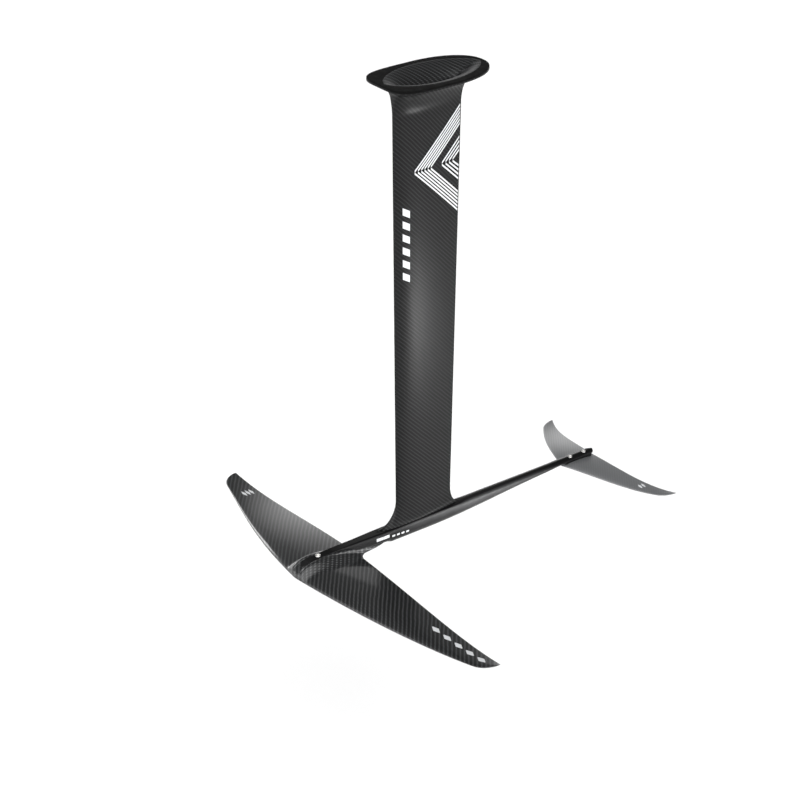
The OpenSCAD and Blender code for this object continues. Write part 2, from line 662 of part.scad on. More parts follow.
// The beam is moulded in two halves that meet on the centre plane
module fuselage_half_shell() {
    color(glossy_black) difference() {
        loft([for (x = fuse_xs) shell_ring(x)]);
        loft([for (x = core_xs) core_ring(x, 0)]);
        // nose bolt
        translate([nose_bolt_x, 0, top_z - 30]) cylinder(h = 40, r = wing_bolt / 2 + 0.2, $fn = round_fn);
        translate([nose_bolt_x, 0, nose_seat_z]) cylinder(h = 10, r = cap_head_r + 0.5, $fn = round_fn);
        // inserts for the lower bolts
        for (x = lower_bolt_xs) translate([x, 0, slot_floor(x) - 1])
            cylinder(h = fuselage_insert_length + 1.22, r = fuselage_insert_r + 0.02, $fn = round_fn);
        // stabilizer bolts
        for (x = stab_bolt_xs) {
            translate([x, 0, top_z - 20]) cylinder(h = 30, r = stab_bolt / 2 + 0.2, $fn = round_fn);
            translate([x, 0, stab_seat_z]) cylinder(h = 10, r = stab_head_r + 0.6, $fn = round_fn);
        }
    }
}
module fuselage_shell_port() { fuselage_half_shell(); }
module fuselage_shell_starboard() { mirror([0, 1, 0]) fuselage_half_shell(); }
// Core: a plain bar inside the beam
core_xs = [-290, -200, -120, -60, 40, 130];
function core_ring(x, gap) = let(
    wall = 3 + gap,
    w = 0.6 * fuse_width(x) - gap,
    top = top_z - wall,
    low = (x > 90 ? slot_floor(x) : top_z - fuse_depth(x)) + wall * 0.75
) [[x, -w, top], [x, -0.6 * w, low], [x, 0.6 * w, low], [x, w, top]];
module fuselage_core() {
    color(foam) loft([for (x = core_xs) core_ring(x, 0.15)]);
}

// ---- graphics: thin decal films ----

// Strip of film on the mast's port face, from station u_a at height z_a to station u_b at z_b
module mast_strip(u_a, z_a, u_b, z_b, height) {
    us = concat([u_a], [for (s = mast_steps) if (s > u_a + 0.002 && s < u_b - 0.002) s], [u_b]);
    loft([for (i = [len(us) - 1:-1:0]) let(
            u = us[i],
            z = blend(z_a, z_b, (u - u_a) / (u_b - u_a)),
            low = z - height / 2,
            high = z + height / 2,
            y_low = mast_facet_y(u, low) + film_lift,
            y_high = mast_facet_y(u, high) + film_lift)
        [[mast_x(u, low), y_low, low], [mast_x(u, high), y_high, high],
         [mast_x(u, high), y_high + film_thick, high], [mast_x(u, low), y_low + film_thick, low]]]);
}
chevron_z = -166;                  // middle height of the nested chevrons
chevron_tail = 0.985;
chevron_rise = 134;                // height gained by an arm over one full chord
module chevron(u_tip, height) {
    rise = chevron_rise * (chevron_tail - u_tip);
    mast_strip(u_tip, chevron_z + height / 2, chevron_tail, chevron_z + rise, height);
    mast_strip(u_tip, chevron_z - height / 2, chevron_tail, chevron_z - rise, height);
}
module mast_graphic() {
    color(film) {
        for (k = [0:5]) chevron(0.27 + 0.05 * k, 3.6);
        for (k = [0:3]) chevron(0.7 + 0.06 * k, 3.6);
        // slanted blocks down the blade
        for (k = [0:5]) mast_strip(0.1, -232 - 24 * k, 0.2, -240 - 24 * k, 13);
    }
}
// One long block on the fuselage's port side, then four dashes behind it
fuse_mark_x = 93;
module fuse_dash(x, low, length, height)
    translate([x, fuse_width(x) + 0.05, top_z - low]) cube([length, film_thick, height]);
module fuselage_graphic() {
    color(film) {
        fuse_dash(fuse_mark_x, 12.5, 14, 6);
        fuse_dash(fuse_mark_x + 14.4, 12.3, 14, 6);
        for (k = [0:3]) fuse_dash(fuse_mark_x - 13 - 10.5 * k, 14.2 + 0.6 * k, 6.5, 3.6);
    }
}
// Lozenge of film on an upper face, whose height over a point is over(x, y)
module lozenge(x, y, long, wide, over) {
    loft([for (t = [-1, 0, 1]) let(
            side = y + wide * t,
            half = long * (1 - 0.85 * abs(t)),
            rear = x - half,
            front = x + half,
            z_rear = over(rear, side) + film_lift,
            z_front = over(front, side) + film_lift
        ) [[rear, side, z_rear + film_thick], [front, side, z_front + film_thick],
           [front, side, z_front], [rear, side, z_rear]]]);
}
module front_wing_graphic() {
    over = function (x, y) wing_over(x, y);
    color(film) {
        for (k = [-1:1]) lozenge(176.5 + 8 * k, -328.5, 3.4, 10, over);
        for (k = [0:4]) lozenge(180 - 2.5 * k, 262 + 28 * k, 6, 10, over);
    }
}
module stabilizer_graphic() {
    over = function (x, y) stab_top(stab_u(x, y), y);
    color(film) for (k = [0, 1]) lozenge(-414 - 8 * k, 131, 3, 6, over);
}

head_rim();
mast_head();
head_socket_liner();
head_threaded_inserts();
mast_skin_port();
mast_skin_starboard();
mast_shear_web();
mast_core_front();
mast_core_rear();
mast_foot();
fuselage_shell_port();
fuselage_shell_starboard();
fuselage_core();
fuselage_inserts();
front_wing_upper_skin();
front_wing_lower_skin();
front_wing_root_block();
front_wing_core_port();
front_wing_core_starboard();
front_wing_nose_bolt();
front_wing_nose_insert();
front_wing_lower_bolts();
stabilizer_upper_skin();
stabilizer_lower_skin();
stabilizer_root_block();
stabilizer_core_port();
stabilizer_core_starboard();
stabilizer_saddle();
stabilizer_bolts();
stabilizer_tee_nuts();
mast_graphic();
fuselage_graphic();
front_wing_graphic();
stabilizer_graphic();
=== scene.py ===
"""Looks of a board hydrofoil: smooth carbon skins, a hollow flared head, bolts, films, stage and light.

Shapes are worked out in millimetres in the part's own frame (+X forward, +Y port, +Z up, origin on the
mast head's top face) and made in metres.
"""

import math

import bpy
import numpy as np
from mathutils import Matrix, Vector


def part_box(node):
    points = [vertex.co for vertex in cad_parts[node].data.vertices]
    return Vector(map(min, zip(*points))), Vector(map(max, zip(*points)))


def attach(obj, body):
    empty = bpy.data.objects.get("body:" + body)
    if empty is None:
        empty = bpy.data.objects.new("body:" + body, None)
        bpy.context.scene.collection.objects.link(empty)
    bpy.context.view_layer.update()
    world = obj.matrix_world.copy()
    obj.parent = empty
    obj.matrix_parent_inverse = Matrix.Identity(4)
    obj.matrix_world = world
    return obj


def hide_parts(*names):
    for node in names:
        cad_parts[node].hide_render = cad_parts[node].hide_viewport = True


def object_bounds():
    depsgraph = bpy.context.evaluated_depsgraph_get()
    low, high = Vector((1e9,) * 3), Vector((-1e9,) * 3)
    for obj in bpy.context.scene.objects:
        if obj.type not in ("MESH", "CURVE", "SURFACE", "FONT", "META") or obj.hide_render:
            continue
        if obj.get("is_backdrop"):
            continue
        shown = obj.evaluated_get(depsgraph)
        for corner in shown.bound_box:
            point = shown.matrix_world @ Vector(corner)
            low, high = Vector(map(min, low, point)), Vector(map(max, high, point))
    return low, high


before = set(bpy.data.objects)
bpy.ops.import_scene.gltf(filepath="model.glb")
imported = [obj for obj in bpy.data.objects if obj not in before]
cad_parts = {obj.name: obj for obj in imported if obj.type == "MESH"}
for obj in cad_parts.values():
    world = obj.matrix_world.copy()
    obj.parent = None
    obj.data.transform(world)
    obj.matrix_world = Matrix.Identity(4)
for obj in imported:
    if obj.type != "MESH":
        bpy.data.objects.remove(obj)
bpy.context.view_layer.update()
MM = 0.001
PI = math.pi


def cad(node, corner, axis):
    """One coordinate of a CAD node's box, in millimetres."""
    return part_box(node)[corner][axis] / MM


LOW, HIGH = 0, 1
X, Y, Z = 0, 1, 2

# ---------------------------------------------------------------- shared curves


def foil(u):
    u = np.clip(u, 0, 1)
    t = 0.2969 * np.sqrt(u) - 0.1260 * u - 0.3516 * u**2 + 0.2843 * u**3 - 0.1036 * u**4
    return np.maximum(0, 10 * t)


def blend(a, b, k):
    return a + (b - a) * k


def smooth(t):
    k = np.clip(t, 0, 1)
    return k * k * (3 - 2 * k)


def chord_steps(n, nose=1.5):
    """Chordwise stations from nose (0) to tail (1), closest together at the nose."""
    return ((1 - np.cos(PI * np.arange(n + 1) / n)) / 2) ** nose


def fillet(t):
    return 1 - np.sqrt(1 - np.clip(t, 0, 1) ** 2)


def signed_power(v, p):
    return np.sign(v) * np.abs(v) ** p


def chaikin(points, rounds):
    """Rounds the corners of an open line, keeping its ends and never leaving its hull."""
    for _ in range(rounds):
        a, b = points[:-1], points[1:]
        cut = np.empty((2 * len(a), points.shape[1]))
        cut[0::2] = 0.75 * a + 0.25 * b
        cut[1::2] = 0.25 * a + 0.75 * b
        points = np.vstack([points[:1], cut[1:-1], points[-1:]])
    return points


# ---------------------------------------------------------------- mesh helpers


def quads(rows, cols, wrap_rows=False, wrap_cols=False, first=0):
    """Faces of a grid of points numbered row by row."""
    i, j = np.meshgrid(
        np.arange(rows if wrap_rows else rows - 1), np.arange(cols if wrap_cols else cols - 1), indexing="ij"
    )
    i, j = i.ravel(), j.ravel()
    i2, j2 = (i + 1) % rows, (j + 1) % cols
    a, b, c, d = i * cols + j, i * cols + j2, i2 * cols + j2, i2 * cols + j
    return (np.stack([a, b, c, d], 1) + first).tolist()


def make(name, points, faces, material, uv=None, angle=32, body="root"):
    """A piece from points in millimetres. uv holds one weave coordinate, in metres, per point."""
    mesh = bpy.data.meshes.new(name)
    mesh.from_pydata((np.asarray(points, float) * MM).tolist(), [], faces)
    mesh.validate()
    piece = bpy.data.objects.new(name, mesh)
    bpy.context.collection.objects.link(piece)
    if uv is not None:
        layer = mesh.uv_layers.new(name="weave")
        at = np.empty(len(mesh.loops), int)
        mesh.loops.foreach_get("vertex_index", at)
        layer.data.foreach_set("uv", np.asarray(uv, float)[at].ravel())
    turn_outwards(mesh)
    shade(mesh, angle)
    mesh.materials.append(material)
    return piece


def turn_outwards(mesh):
    """Turns a closed mesh the right way out."""
    import bmesh

    bm = bmesh.new()
    bm.from_mesh(mesh)
    if bm.calc_volume(signed=True) < 0:
        bmesh.ops.reverse_faces(bm, faces=bm.faces)
    bm.to_mesh(mesh)
    bm.free()


def shade(mesh, angle):
    mesh.shade_smooth()
    mesh.set_sharp_from_angle(angle=math.radians(angle))


def settle(piece, angle=32):
    """Applies a piece's modifiers."""
    graph = bpy.context.evaluated_depsgraph_get()
    done = bpy.data.meshes.new_from_object(piece.evaluated_get(graph))
    piece.modifiers.clear()
    piece.data = done
    shade(done, angle)


def cut(piece, *cutters, angle=32):
    """Takes the cutters out of a piece and throws them away."""
    for cutter in cutters:
        m = piece.modifiers.new("cut", "BOOLEAN")
        m.operation, m.solver, m.object = "DIFFERENCE", "EXACT", cutter
    settle(piece, angle)
    for cutter in cutters:
        bpy.data.objects.remove(cutter)


def turned(name, profile, centre, material, sides=48, angle=32):
    """A solid of revolution about Z. profile is (radius, height) pairs, starting and ending on the axis."""
    turn = 2 * PI * np.arange(sides) / sides
    inner = profile[1:-1]
    points = [[centre[0] + r * math.cos(t), centre[1] + r * math.sin(t), centre[2] + h] for r, h in inner for t in turn]
    faces = quads(len(inner), sides, wrap_cols=True)
    for (r, h), row, flip in ((profile[0], 0, True), (profile[-1], len(inner) - 1, False)):
        points.append([centre[0], centre[1], centre[2] + h])
        hub = len(points) - 1
        for k in range(sides):
            a, b = row * sides + k, row * sides + (k + 1) % sides
            faces.append([hub, b, a] if flip else [hub, a, b])
    return make(name, points, faces, material, angle=angle)


def prism(name, outline, low, high, material):
    """A closed straight prism over an outline in X and Y."""
    n = len(outline)
    points = [[x, y, z] for z in (low, high) for x, y in outline]
    faces = quads(2, n, wrap_cols=True) + [list(range(n))[::-1], list(range(n, 2 * n))]
    return make(name, points, faces, material)


def finish_piece(piece, slot, *nodes):
    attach(piece, "root")
    if nodes:
        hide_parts(*nodes)
    return piece


# ---------------------------------------------------------------- materials


class Nodes:
    """Short ways to add shader nodes."""

    def __init__(self, name):
        self.material = bpy.data.materials.new(name)
        self.material.use_nodes = True
        self.tree = self.material.node_tree
        self.tree.nodes.clear()
        self.shader = self.add("ShaderNodeBsdfPrincipled")
        out = self.add("ShaderNodeOutputMaterial")
        self.link(self.shader.outputs[0], out.inputs[0])

    def add(self, kind, **values):
        node = self.tree.nodes.new(kind)
        for key, value in values.items():
            setattr(node, key, value)
        return node

    def link(self, a, b):
        self.tree.links.new(a, b)

    def put(self, value, socket):
        if hasattr(value, "is_linked") or hasattr(value, "links"):
            self.link(value, socket)
        else:
            socket.default_value = value

    def math(self, operation, a, b=0.0, clamp=False):
        node = self.add("ShaderNodeMath", operation=operation, use_clamp=clamp)
        self.put(a, node.inputs[0])
        self.put(b, node.inputs[1])
        return node.outputs[0]

    def mix(self, factor, a, b):
        node = self.add("ShaderNodeMix", data_type="RGBA")
        self.put(factor, node.inputs[0])
        self.put(a, node.inputs[6])
        self.put(b, node.inputs[7])
        return node.outputs[2]

    def ramp(self, value, *stops):
        """Maps a value through (position, grey) stops."""
        node = self.add("ShaderNodeValToRGB")
        line = node.color_ramp.elements
        for k, (at, grey) in enumerate(stops):
            stop = line[k] if k < 2 else line.new(at)
            stop.position, stop.color = at, (grey, grey, grey, 1)
        self.put(value, node.inputs[0])
        return node.outputs[0]

    def place(self, source="Object"):
        return self.add("ShaderNodeTexCoord").outputs[source]

    def stretch(self, vector, sx, sy, sz):
        node = self.add("ShaderNodeMapping")
        self.link(vector, node.inputs[0])
        node.inputs["Scale"].default_value = (sx, sy, sz)
        return node.outputs[0]

    def noise(self, vector, scale, detail=3.0, rough=0.5):
        node = self.add("ShaderNodeTexNoise")
        self.link(vector, node.inputs["Vector"])
        node.inputs["Scale"].default_value = scale
        node.inputs["Detail"].default_value = detail
        node.inputs["Roughness"].default_value = rough
        return node.outputs["Fac"]

    def bump(self, height, distance, strength=1.0, normal=None):
        node = self.add("ShaderNodeBump")
        self.put(height, node.inputs["Height"])
        node.inputs["Distance"].default_value = distance
        node.inputs["Strength"].default_value = strength
        if normal is not None:
            self.link(normal, node.inputs["Normal"])
        return node.outputs[0]

    def set(self, **values):
        for key, value in values.items():
            self.put(value, self.shader.inputs[key.replace("_", " ")])


def grey(v, tint=(1.0, 1.0, 1.0)):
    return (v * tint[0], v * tint[1], v * tint[2], 1.0)


def weave_nodes(n, tow, turn):
    """2/2 twill over the weave coordinates. Gives which tow is on top, the cloth's height, the gaps and streaks."""
    uv = n.add("ShaderNodeUVMap", uv_map="weave").outputs[0]
    split = n.add("ShaderNodeSeparateXYZ")
    n.link(uv, split.inputs[0])
    wobble = n.noise(uv, 24.0, 2.0)
    wobble = n.math("MULTIPLY", n.math("SUBTRACT", wobble, 0.5), 0.9)
    c, s = math.cos(math.radians(turn)) / tow, math.sin(math.radians(turn)) / tow
    u = n.math("ADD", n.math("MULTIPLY", split.outputs[0], c), n.math("MULTIPLY", split.outputs[1], s))
    v = n.math("SUBTRACT", n.math("MULTIPLY", split.outputs[1], c), n.math("MULTIPLY", split.outputs[0], s))
    u = n.math("ADD", u, wobble)
    v = n.math("SUBTRACT", v, wobble)
    i, j = n.math("FLOOR", u), n.math("FLOOR", v)
    fu, fv = n.math("FRACT", u), n.math("FRACT", v)
    state = n.math("FLOORED_MODULO", n.math("ADD", n.math("SUBTRACT", i, j), 0.5), 4.0)
    weft = n.math("GREATER_THAN", state, 2.0)

    def rounded(f, power):
        from_middle = n.math("ABSOLUTE", n.math("SUBTRACT", n.math("MULTIPLY", f, 2.0), 1.0))
        return n.math("SUBTRACT", 1.0, n.math("POWER", from_middle, power))

    step = n.math("FLOOR", state)
    warp_run = n.math("MULTIPLY", n.math("ADD", n.math("SUBTRACT", 1.0, step), fv), 0.5)
    weft_run = n.math("MULTIPLY", n.math("ADD", n.math("SUBTRACT", step, 2.0), fu), 0.5)
    warp_top = n.math("MULTIPLY", rounded(fu, 1.8), rounded(warp_run, 3.0))
    weft_top = n.math("MULTIPLY", rounded(fv, 1.8), rounded(weft_run, 3.0))
    height = n.math(
        "ADD",
        n.math("MULTIPLY", weft_top, weft),
        n.math("MULTIPLY", warp_top, n.math("SUBTRACT", 1.0, weft)),
    )
    join = n.add("ShaderNodeCombineXYZ")
    n.link(u, join.inputs[0])
    n.link(v, join.inputs[1])
    along_v = n.noise(n.stretch(join.outputs[0], 14.0, 0.35, 1.0), 1.0, 2.0)
    along_u = n.noise(n.stretch(join.outputs[0], 0.35, 14.0, 1.0), 1.0, 2.0)
    streak = n.add("ShaderNodeMix", data_type="FLOAT")
    n.link(weft, streak.inputs[0])
    n.link(along_v, streak.inputs[2])
    n.link(along_u, streak.inputs[3])
    return weft, height, streak.outputs[0], uv


def carbon(name, tow, turn, dark, pale, gloss, coat, coat_rough, gap_shade=0.3, relief=0.00006, level=0.5, tint=(0.97, 1.0, 1.03)):
    """Clear-coated carbon cloth: a woven layer with its own relief under a smooth coat. Its colour holds painted light:
    the weft tows are painted paler than the warp as a painted sheen, and each tow is painted lighter on its crown and
    darker towards its edges and the gaps as painted shade.
    """
    n = Nodes(name)
    weft, height, streak, uv = weave_nodes(n, tow, turn)
    cloud = n.noise(uv, 9.0, 3.0)
    # Painted shade on the tows: lit on each crown, darker towards its edges and the gaps, varied by streaks and clouds.
    lit = n.math("MULTIPLY", height, n.math("ADD", 0.62, n.math("MULTIPLY", streak, 0.76)))
    lit = n.math("MULTIPLY", lit, n.math("ADD", 0.82, n.math("MULTIPLY", cloud, 0.36)))
    # Painted sheen: the weft tows take the paler tone, the warp the darker one.
    warp_colour = n.mix(lit, grey(dark * gap_shade, tint), grey(dark, tint))
    weft_sheen_colour = n.mix(lit, grey(dark * gap_shade, tint), grey(pale, tint))
    n.set(Base_Color=n.mix(weft, warp_colour, weft_sheen_colour))
    rough = n.math("ADD", gloss, n.math("MULTIPLY", n.math("SUBTRACT", streak, 0.5), 0.16))
    rough = n.math("ADD", rough, n.math("MULTIPLY", n.math("SUBTRACT", 0.5, weft), 0.08))
    n.set(Roughness=rough, Normal=n.bump(height, relief, 0.7))
    n.set(Specular_IOR_Level=level, Coat_Weight=coat, Coat_Roughness=coat_rough, Coat_IOR=1.5)
    return n.material


def gloss_black(name, top_z):
    """Gloss black moulding with faint orange peel, and a painted highlight: a pale band along the shoulder of its
    middle that stands for a soft reflection and roughens the gloss there a little.
    """
    n = Nodes(name)
    at = n.place()
    # Mottle for the painted highlight.
    painted_highlight = n.noise(at, 38.0, 4.0)
    fine = n.noise(at, 900.0, 2.0)
    split = n.add("ShaderNodeSeparateXYZ")
    n.link(at, split.inputs[0])
    along = n.math("ADD", 0.5, split.outputs[0])
    # Painted highlight: how far it spreads along the beam, strongest in the middle.
    highlight_spread = n.ramp(along, (0.18, 0.0), (0.58, 0.0), (0.3, 0.75), (0.4, 1.0), (0.5, 0.55))
    under_top = n.math("MULTIPLY", n.math("SUBTRACT", top_z, split.outputs[2]), 40.0)
    # Painted highlight across the flank: dark on the top face, brightest just below the top edge, fading downwards.
    shoulder = n.ramp(under_top, (0.02, 0.05), (1.0, 0.1), (0.1, 0.7), (0.16, 1.0), (0.3, 0.75), (0.6, 0.25))
    highlight_spread = n.math("MULTIPLY", n.math("ADD", 0.08, highlight_spread), shoulder)
    painted_highlight = n.math("MULTIPLY", highlight_spread, n.math("ADD", 0.6, n.math("MULTIPLY", painted_highlight, 0.8)))
    # Base colour: the painted highlight turns the gloss black pale grey.
    n.set(Base_Color=n.mix(painted_highlight, grey(0.003, (1, 1, 1.05)), grey(0.10, (1, 1, 1.02))))
    n.set(Roughness=n.math("ADD", 0.16, n.math("MULTIPLY", painted_highlight, 0.12)))
    n.set(Normal=n.bump(fine, 0.00001, 0.35))
    n.set(Specular_IOR_Level=0.2)
    return n.material


def matte_black(name, base=0.0026, rough=0.66):
    """Matte black moulding with a fine grain and slightly rubbed high spots."""
    n = Nodes(name)
    at = n.place()
    grain = n.noise(at, 1500.0, 3.0, 0.6)
    rub = n.noise(at, 60.0, 5.0, 0.62)
    rubbed = n.ramp(rub, (0.45, 0.0), (0.8, 1.0))
    n.set(Base_Color=n.mix(rubbed, grey(base), grey(base * 1.7)))
    n.set(Roughness=n.math("SUBTRACT", rough, n.math("MULTIPLY", rubbed, 0.14)))
    n.set(Normal=n.bump(grain, 0.00003, 0.5), Specular_IOR_Level=0.05)
    return n.material


def steel(name):
    """Fine-turned stainless steel."""
    n = Nodes(name)
    at = n.place()
    lines = n.noise(n.stretch(at, 300.0, 300.0, 9000.0), 1.0, 2.0)
    spots = n.noise(at, 700.0, 3.0)
    n.set(Base_Color=n.mix(spots, grey(0.78, (1, 0.99, 0.97)), grey(0.92, (1, 0.99, 0.97))))
    n.set(Metallic=1.0, Roughness=n.math("ADD", 0.16, n.math("MULTIPLY", lines, 0.16)))
    n.set(Normal=n.bump(lines, 0.000006, 0.4))
    return n.material


def film(name):
    """Pale printed film under the lacquer, with a light print grain."""
    n = Nodes(name)
    at = n.place()
    print_grain = n.noise(at, 2600.0, 2.0)
    patch = n.noise(at, 45.0, 4.0)
    n.set(Base_Color=n.mix(n.math("MULTIPLY", patch, 0.5), grey(0.66, (0.98, 1, 1.02)), grey(0.54, (0.98, 1, 1.02))))
    n.set(Roughness=n.math("ADD", 0.3, n.math("MULTIPLY", print_grain, 0.15)))
    n.set(Normal=n.bump(print_grain, 0.000008, 0.3), Coat_Weight=0.5, Coat_Roughness=0.08)
    return n.material


def foam(name):
    n = Nodes(name)
    at = n.place()
    cells = n.add("ShaderNodeTexVoronoi")
    n.link(at, cells.inputs["Vector"])
    cells.inputs["Scale"].default_value = 1100.0
    n.set(Base_Color=n.mix(cells.outputs["Distance"], grey(0.62, (1.0, 0.92, 0.72)), grey(0.42, (1.0, 0.9, 0.68))))
    n.set(Roughness=0.85, Normal=n.bump(cells.outputs["Distance"], 0.0002, 0.6))
    return n.material


def laminate(name):
    """Bare carbon laminate: plies seen as fine layers."""
    n = Nodes(name)
    plies = n.noise(n.stretch(n.place(), 60.0, 60.0, 3500.0), 1.0, 2.0)
    n.set(Base_Color=n.mix(plies, grey(0.012), grey(0.04)))
    n.set(Roughness=n.math("ADD", 0.4, n.math("MULTIPLY", plies, 0.2)), Normal=n.bump(plies, 0.00003, 0.5))
    return n.material


# Each carbon's dark tone is the warp's painted shade and its pale tone is the weft's painted sheen.
WING_CARBON = carbon("wing_carbon", 0.00255, 6.0, 0.014, 0.07, 0.36, 1.0, 0.10, level=0.15)
STAB_CARBON = carbon("stabilizer_carbon", 0.0016, 6.0, 0.12, 0.145, 0.42, 1.0, 0.30, gap_shade=0.8, level=0.3)
MAST_CARBON = carbon("mast_carbon", 0.0020, 0.0, 0.006, 0.022, 0.50, 0.24, 0.16, level=0.06)
SOCKET_CARBON = carbon("socket_carbon", 0.0026, 12.0, 0.012, 0.06, 0.45, 0.15, 0.35, level=0.1)
BLACK_GLOSS = gloss_black("fuselage_gloss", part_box("fuselage_shell_port")[1][2])
RIM_MATTE = matte_black("rim_matte")
SADDLE_MATTE = matte_black("saddle_matte", 0.011, 0.5)
STEEL = steel("stainless_turned")
FILM = film("pale_film")
FOAM = foam("core_foam")
LAMINATE = laminate("bare_laminate")

for node, material in {
    "head_threaded_inserts": STEEL,
    "mast_shear_web": LAMINATE,
    "mast_core_front": FOAM,
    "mast_core_rear": FOAM,
    "fuselage_core": FOAM,
    "fuselage_inserts": STEEL,
    "front_wing_root_block": LAMINATE,
    "front_wing_core_port": FOAM,
    "front_wing_core_starboard": FOAM,
    "front_wing_nose_insert": STEEL,
    "stabilizer_root_block": LAMINATE,
    "stabilizer_core_port": FOAM,
    "stabilizer_core_starboard": FOAM,
}.items():
    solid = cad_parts[node]
    solid.data.materials.clear()
    solid.data.materials.append(material)

# ---------------------------------------------------------------- mast

NECK_Z = cad("mast_skin_port", HIGH, Z)
FOOT_Z = cad("mast_skin_port", LOW, Z)
TOP_Z = cad("mast_foot", LOW, Z)
NOSE_TOP = cad("mast_skin_port", HIGH, X)
CHORD_TOP = NOSE_TOP - cad("mast_skin_port", LOW, X)
NOSE_FOOT = NOSE_TOP - 6.5
CHORD_FOOT, THICK_TOP, THICK_FOOT, MAST_SKIN = 125.0, 20.0, 17.0, 1.8


def down_mast(z):
    return (NECK_Z - z) / (NECK_Z - FOOT_Z)


def mast_x(u, z):
    k = down_mast(z)
    return blend(NOSE_TOP, NOSE_FOOT, k) - blend(CHORD_TOP, CHORD_FOOT, k) * u


def mast_y(u, z):
    return blend(THICK_TOP, THICK_FOOT, down_mast(z)) / 2 * foil(u)


def mast_blade(side):
    us = chord_steps(56)
    points, uv = [], []
    zs = np.linspace(FOOT_Z, NECK_Z, 25)
    for z in zs:
        x, y = mast_x(us, z), mast_y(us, z)
        inner = np.maximum(0.02 * foil(us), y - MAST_SKIN)
        ring = np.vstack([np.c_[x, y], np.c_[x, inner][-2:0:-1]])
        points.append(np.c_[ring[:, 0], side * ring[:, 1], np.full(len(ring), z)])
    cols = len(points[0])
    points = np.vstack(points)
    uv = np.c_[points[:, 0] * side, points[:, 2]] * MM
    faces = quads(len(zs), cols, wrap_cols=True)
    last = (len(zs) - 1) * cols
    faces += [list(range(cols)), list(range(last, last + cols))[::-1]]
    name = "mast_blade_port" if side > 0 else "mast_blade_starboard"
    return make(name, points, faces, MAST_CARBON, uv, angle=40)


finish_piece(mast_blade(1), "mast_carbon", "mast_skin_port")
finish_piece(mast_blade(-1), "mast_carbon", "mast_skin_starboard")


def around(n):
    """Stations round a section: angle, chordwise share and side, closer together at the nose."""
    angle = 2 * PI * np.arange(n) / n
    u = ((1 - np.cos(angle)) / 2) ** 1.5
    side = np.sign(np.round(np.sin(angle), 9))
    return angle, u, side


def foot_ring(h, n=144):
    angle, u, side = around(n)
    front = 46 * fillet(1 - h / 50)
    rear = 22 * fillet(1 - h / 36)
    flare = 1.6 * fillet(1 - h / 12)
    plan = 2 * np.sqrt(np.maximum(0, u * (1 - u)))
    k = 1 - u
    x = mast_x(u, FOOT_Z) + front * k**3 - rear * u**3
    y = side * (mast_y(u, FOOT_Z) + flare * plan)
    return np.c_[x, y, np.full(n, TOP_Z + h)]


def mast_foot():
    height = FOOT_Z - TOP_Z
    hs = height * (1 - np.sin(np.linspace(PI / 2, 0, 30)))
    rings = [foot_ring(h) for h in hs]
    cols = len(rings[0])
    points = np.vstack(rings)
    uv = np.c_[points[:, 0] * np.where(points[:, 1] < 0, -1, 1), points[:, 2]] * MM
    faces = quads(len(rings), cols, wrap_cols=True)
    last = (len(rings) - 1) * cols
    faces += [list(range(cols))[::-1], list(range(last, last + cols))]
    return make("mast_foot_fairing", points, faces, MAST_CARBON, uv, angle=40)


finish_piece(mast_foot(), "mast_carbon", "mast_foot")

# ---------------------------------------------------------------- head

RIM_THICK = -cad("head_rim", LOW, Z)
HEAD_LENGTH = cad("head_rim", HIGH, X) - cad("head_rim", LOW, X)
HEAD_WIDTH = cad("head_rim", HIGH, Y) - cad("head_rim", LOW, Y)
HEAD_SHIFT = (cad("head_rim", HIGH, X) + cad("head_rim", LOW, X)) / 2
SOCKET_DEPTH, SOCKET_FRONT, SOCKET_LENGTH, SOCKET_WIDTH, MOUTH_PEAK = 42.0, 88.0, 191.0, 94.0, 0.4148
LINER = 1.2
FLANGE_Z = -RIM_THICK - 2.5
NOSE_FLARE = 22.0


def head_outline(angle):
    p = np.where(np.cos(angle) > 0, 2 / 4.5, 2 / 2.2)
    return np.c_[
        HEAD_SHIFT + HEAD_LENGTH / 2 * signed_power(np.cos(angle), p),
        HEAD_WIDTH / 2 * signed_power(np.sin(angle), p),
    ]


def socket_plan(angle, depth):
    """Outline of the socket at a depth below the mouth."""
    u = (1 - np.cos(angle)) / 2
    side = np.sign(np.round(np.sin(angle), 9))
    mouth = np.c_[
        SOCKET_FRONT - SOCKET_LENGTH * u,
        side * SOCKET_WIDTH / 2 * u**0.62 * np.maximum(1 - u, 0) ** 0.65 / MOUTH_PEAK,
    ]
    floor = np.c_[54 * signed_power(np.cos(angle), 0.8), 8 * signed_power(np.sin(angle), 0.5)]
    return blend(floor, mouth, (1 - depth / SOCKET_DEPTH) ** 3.3)


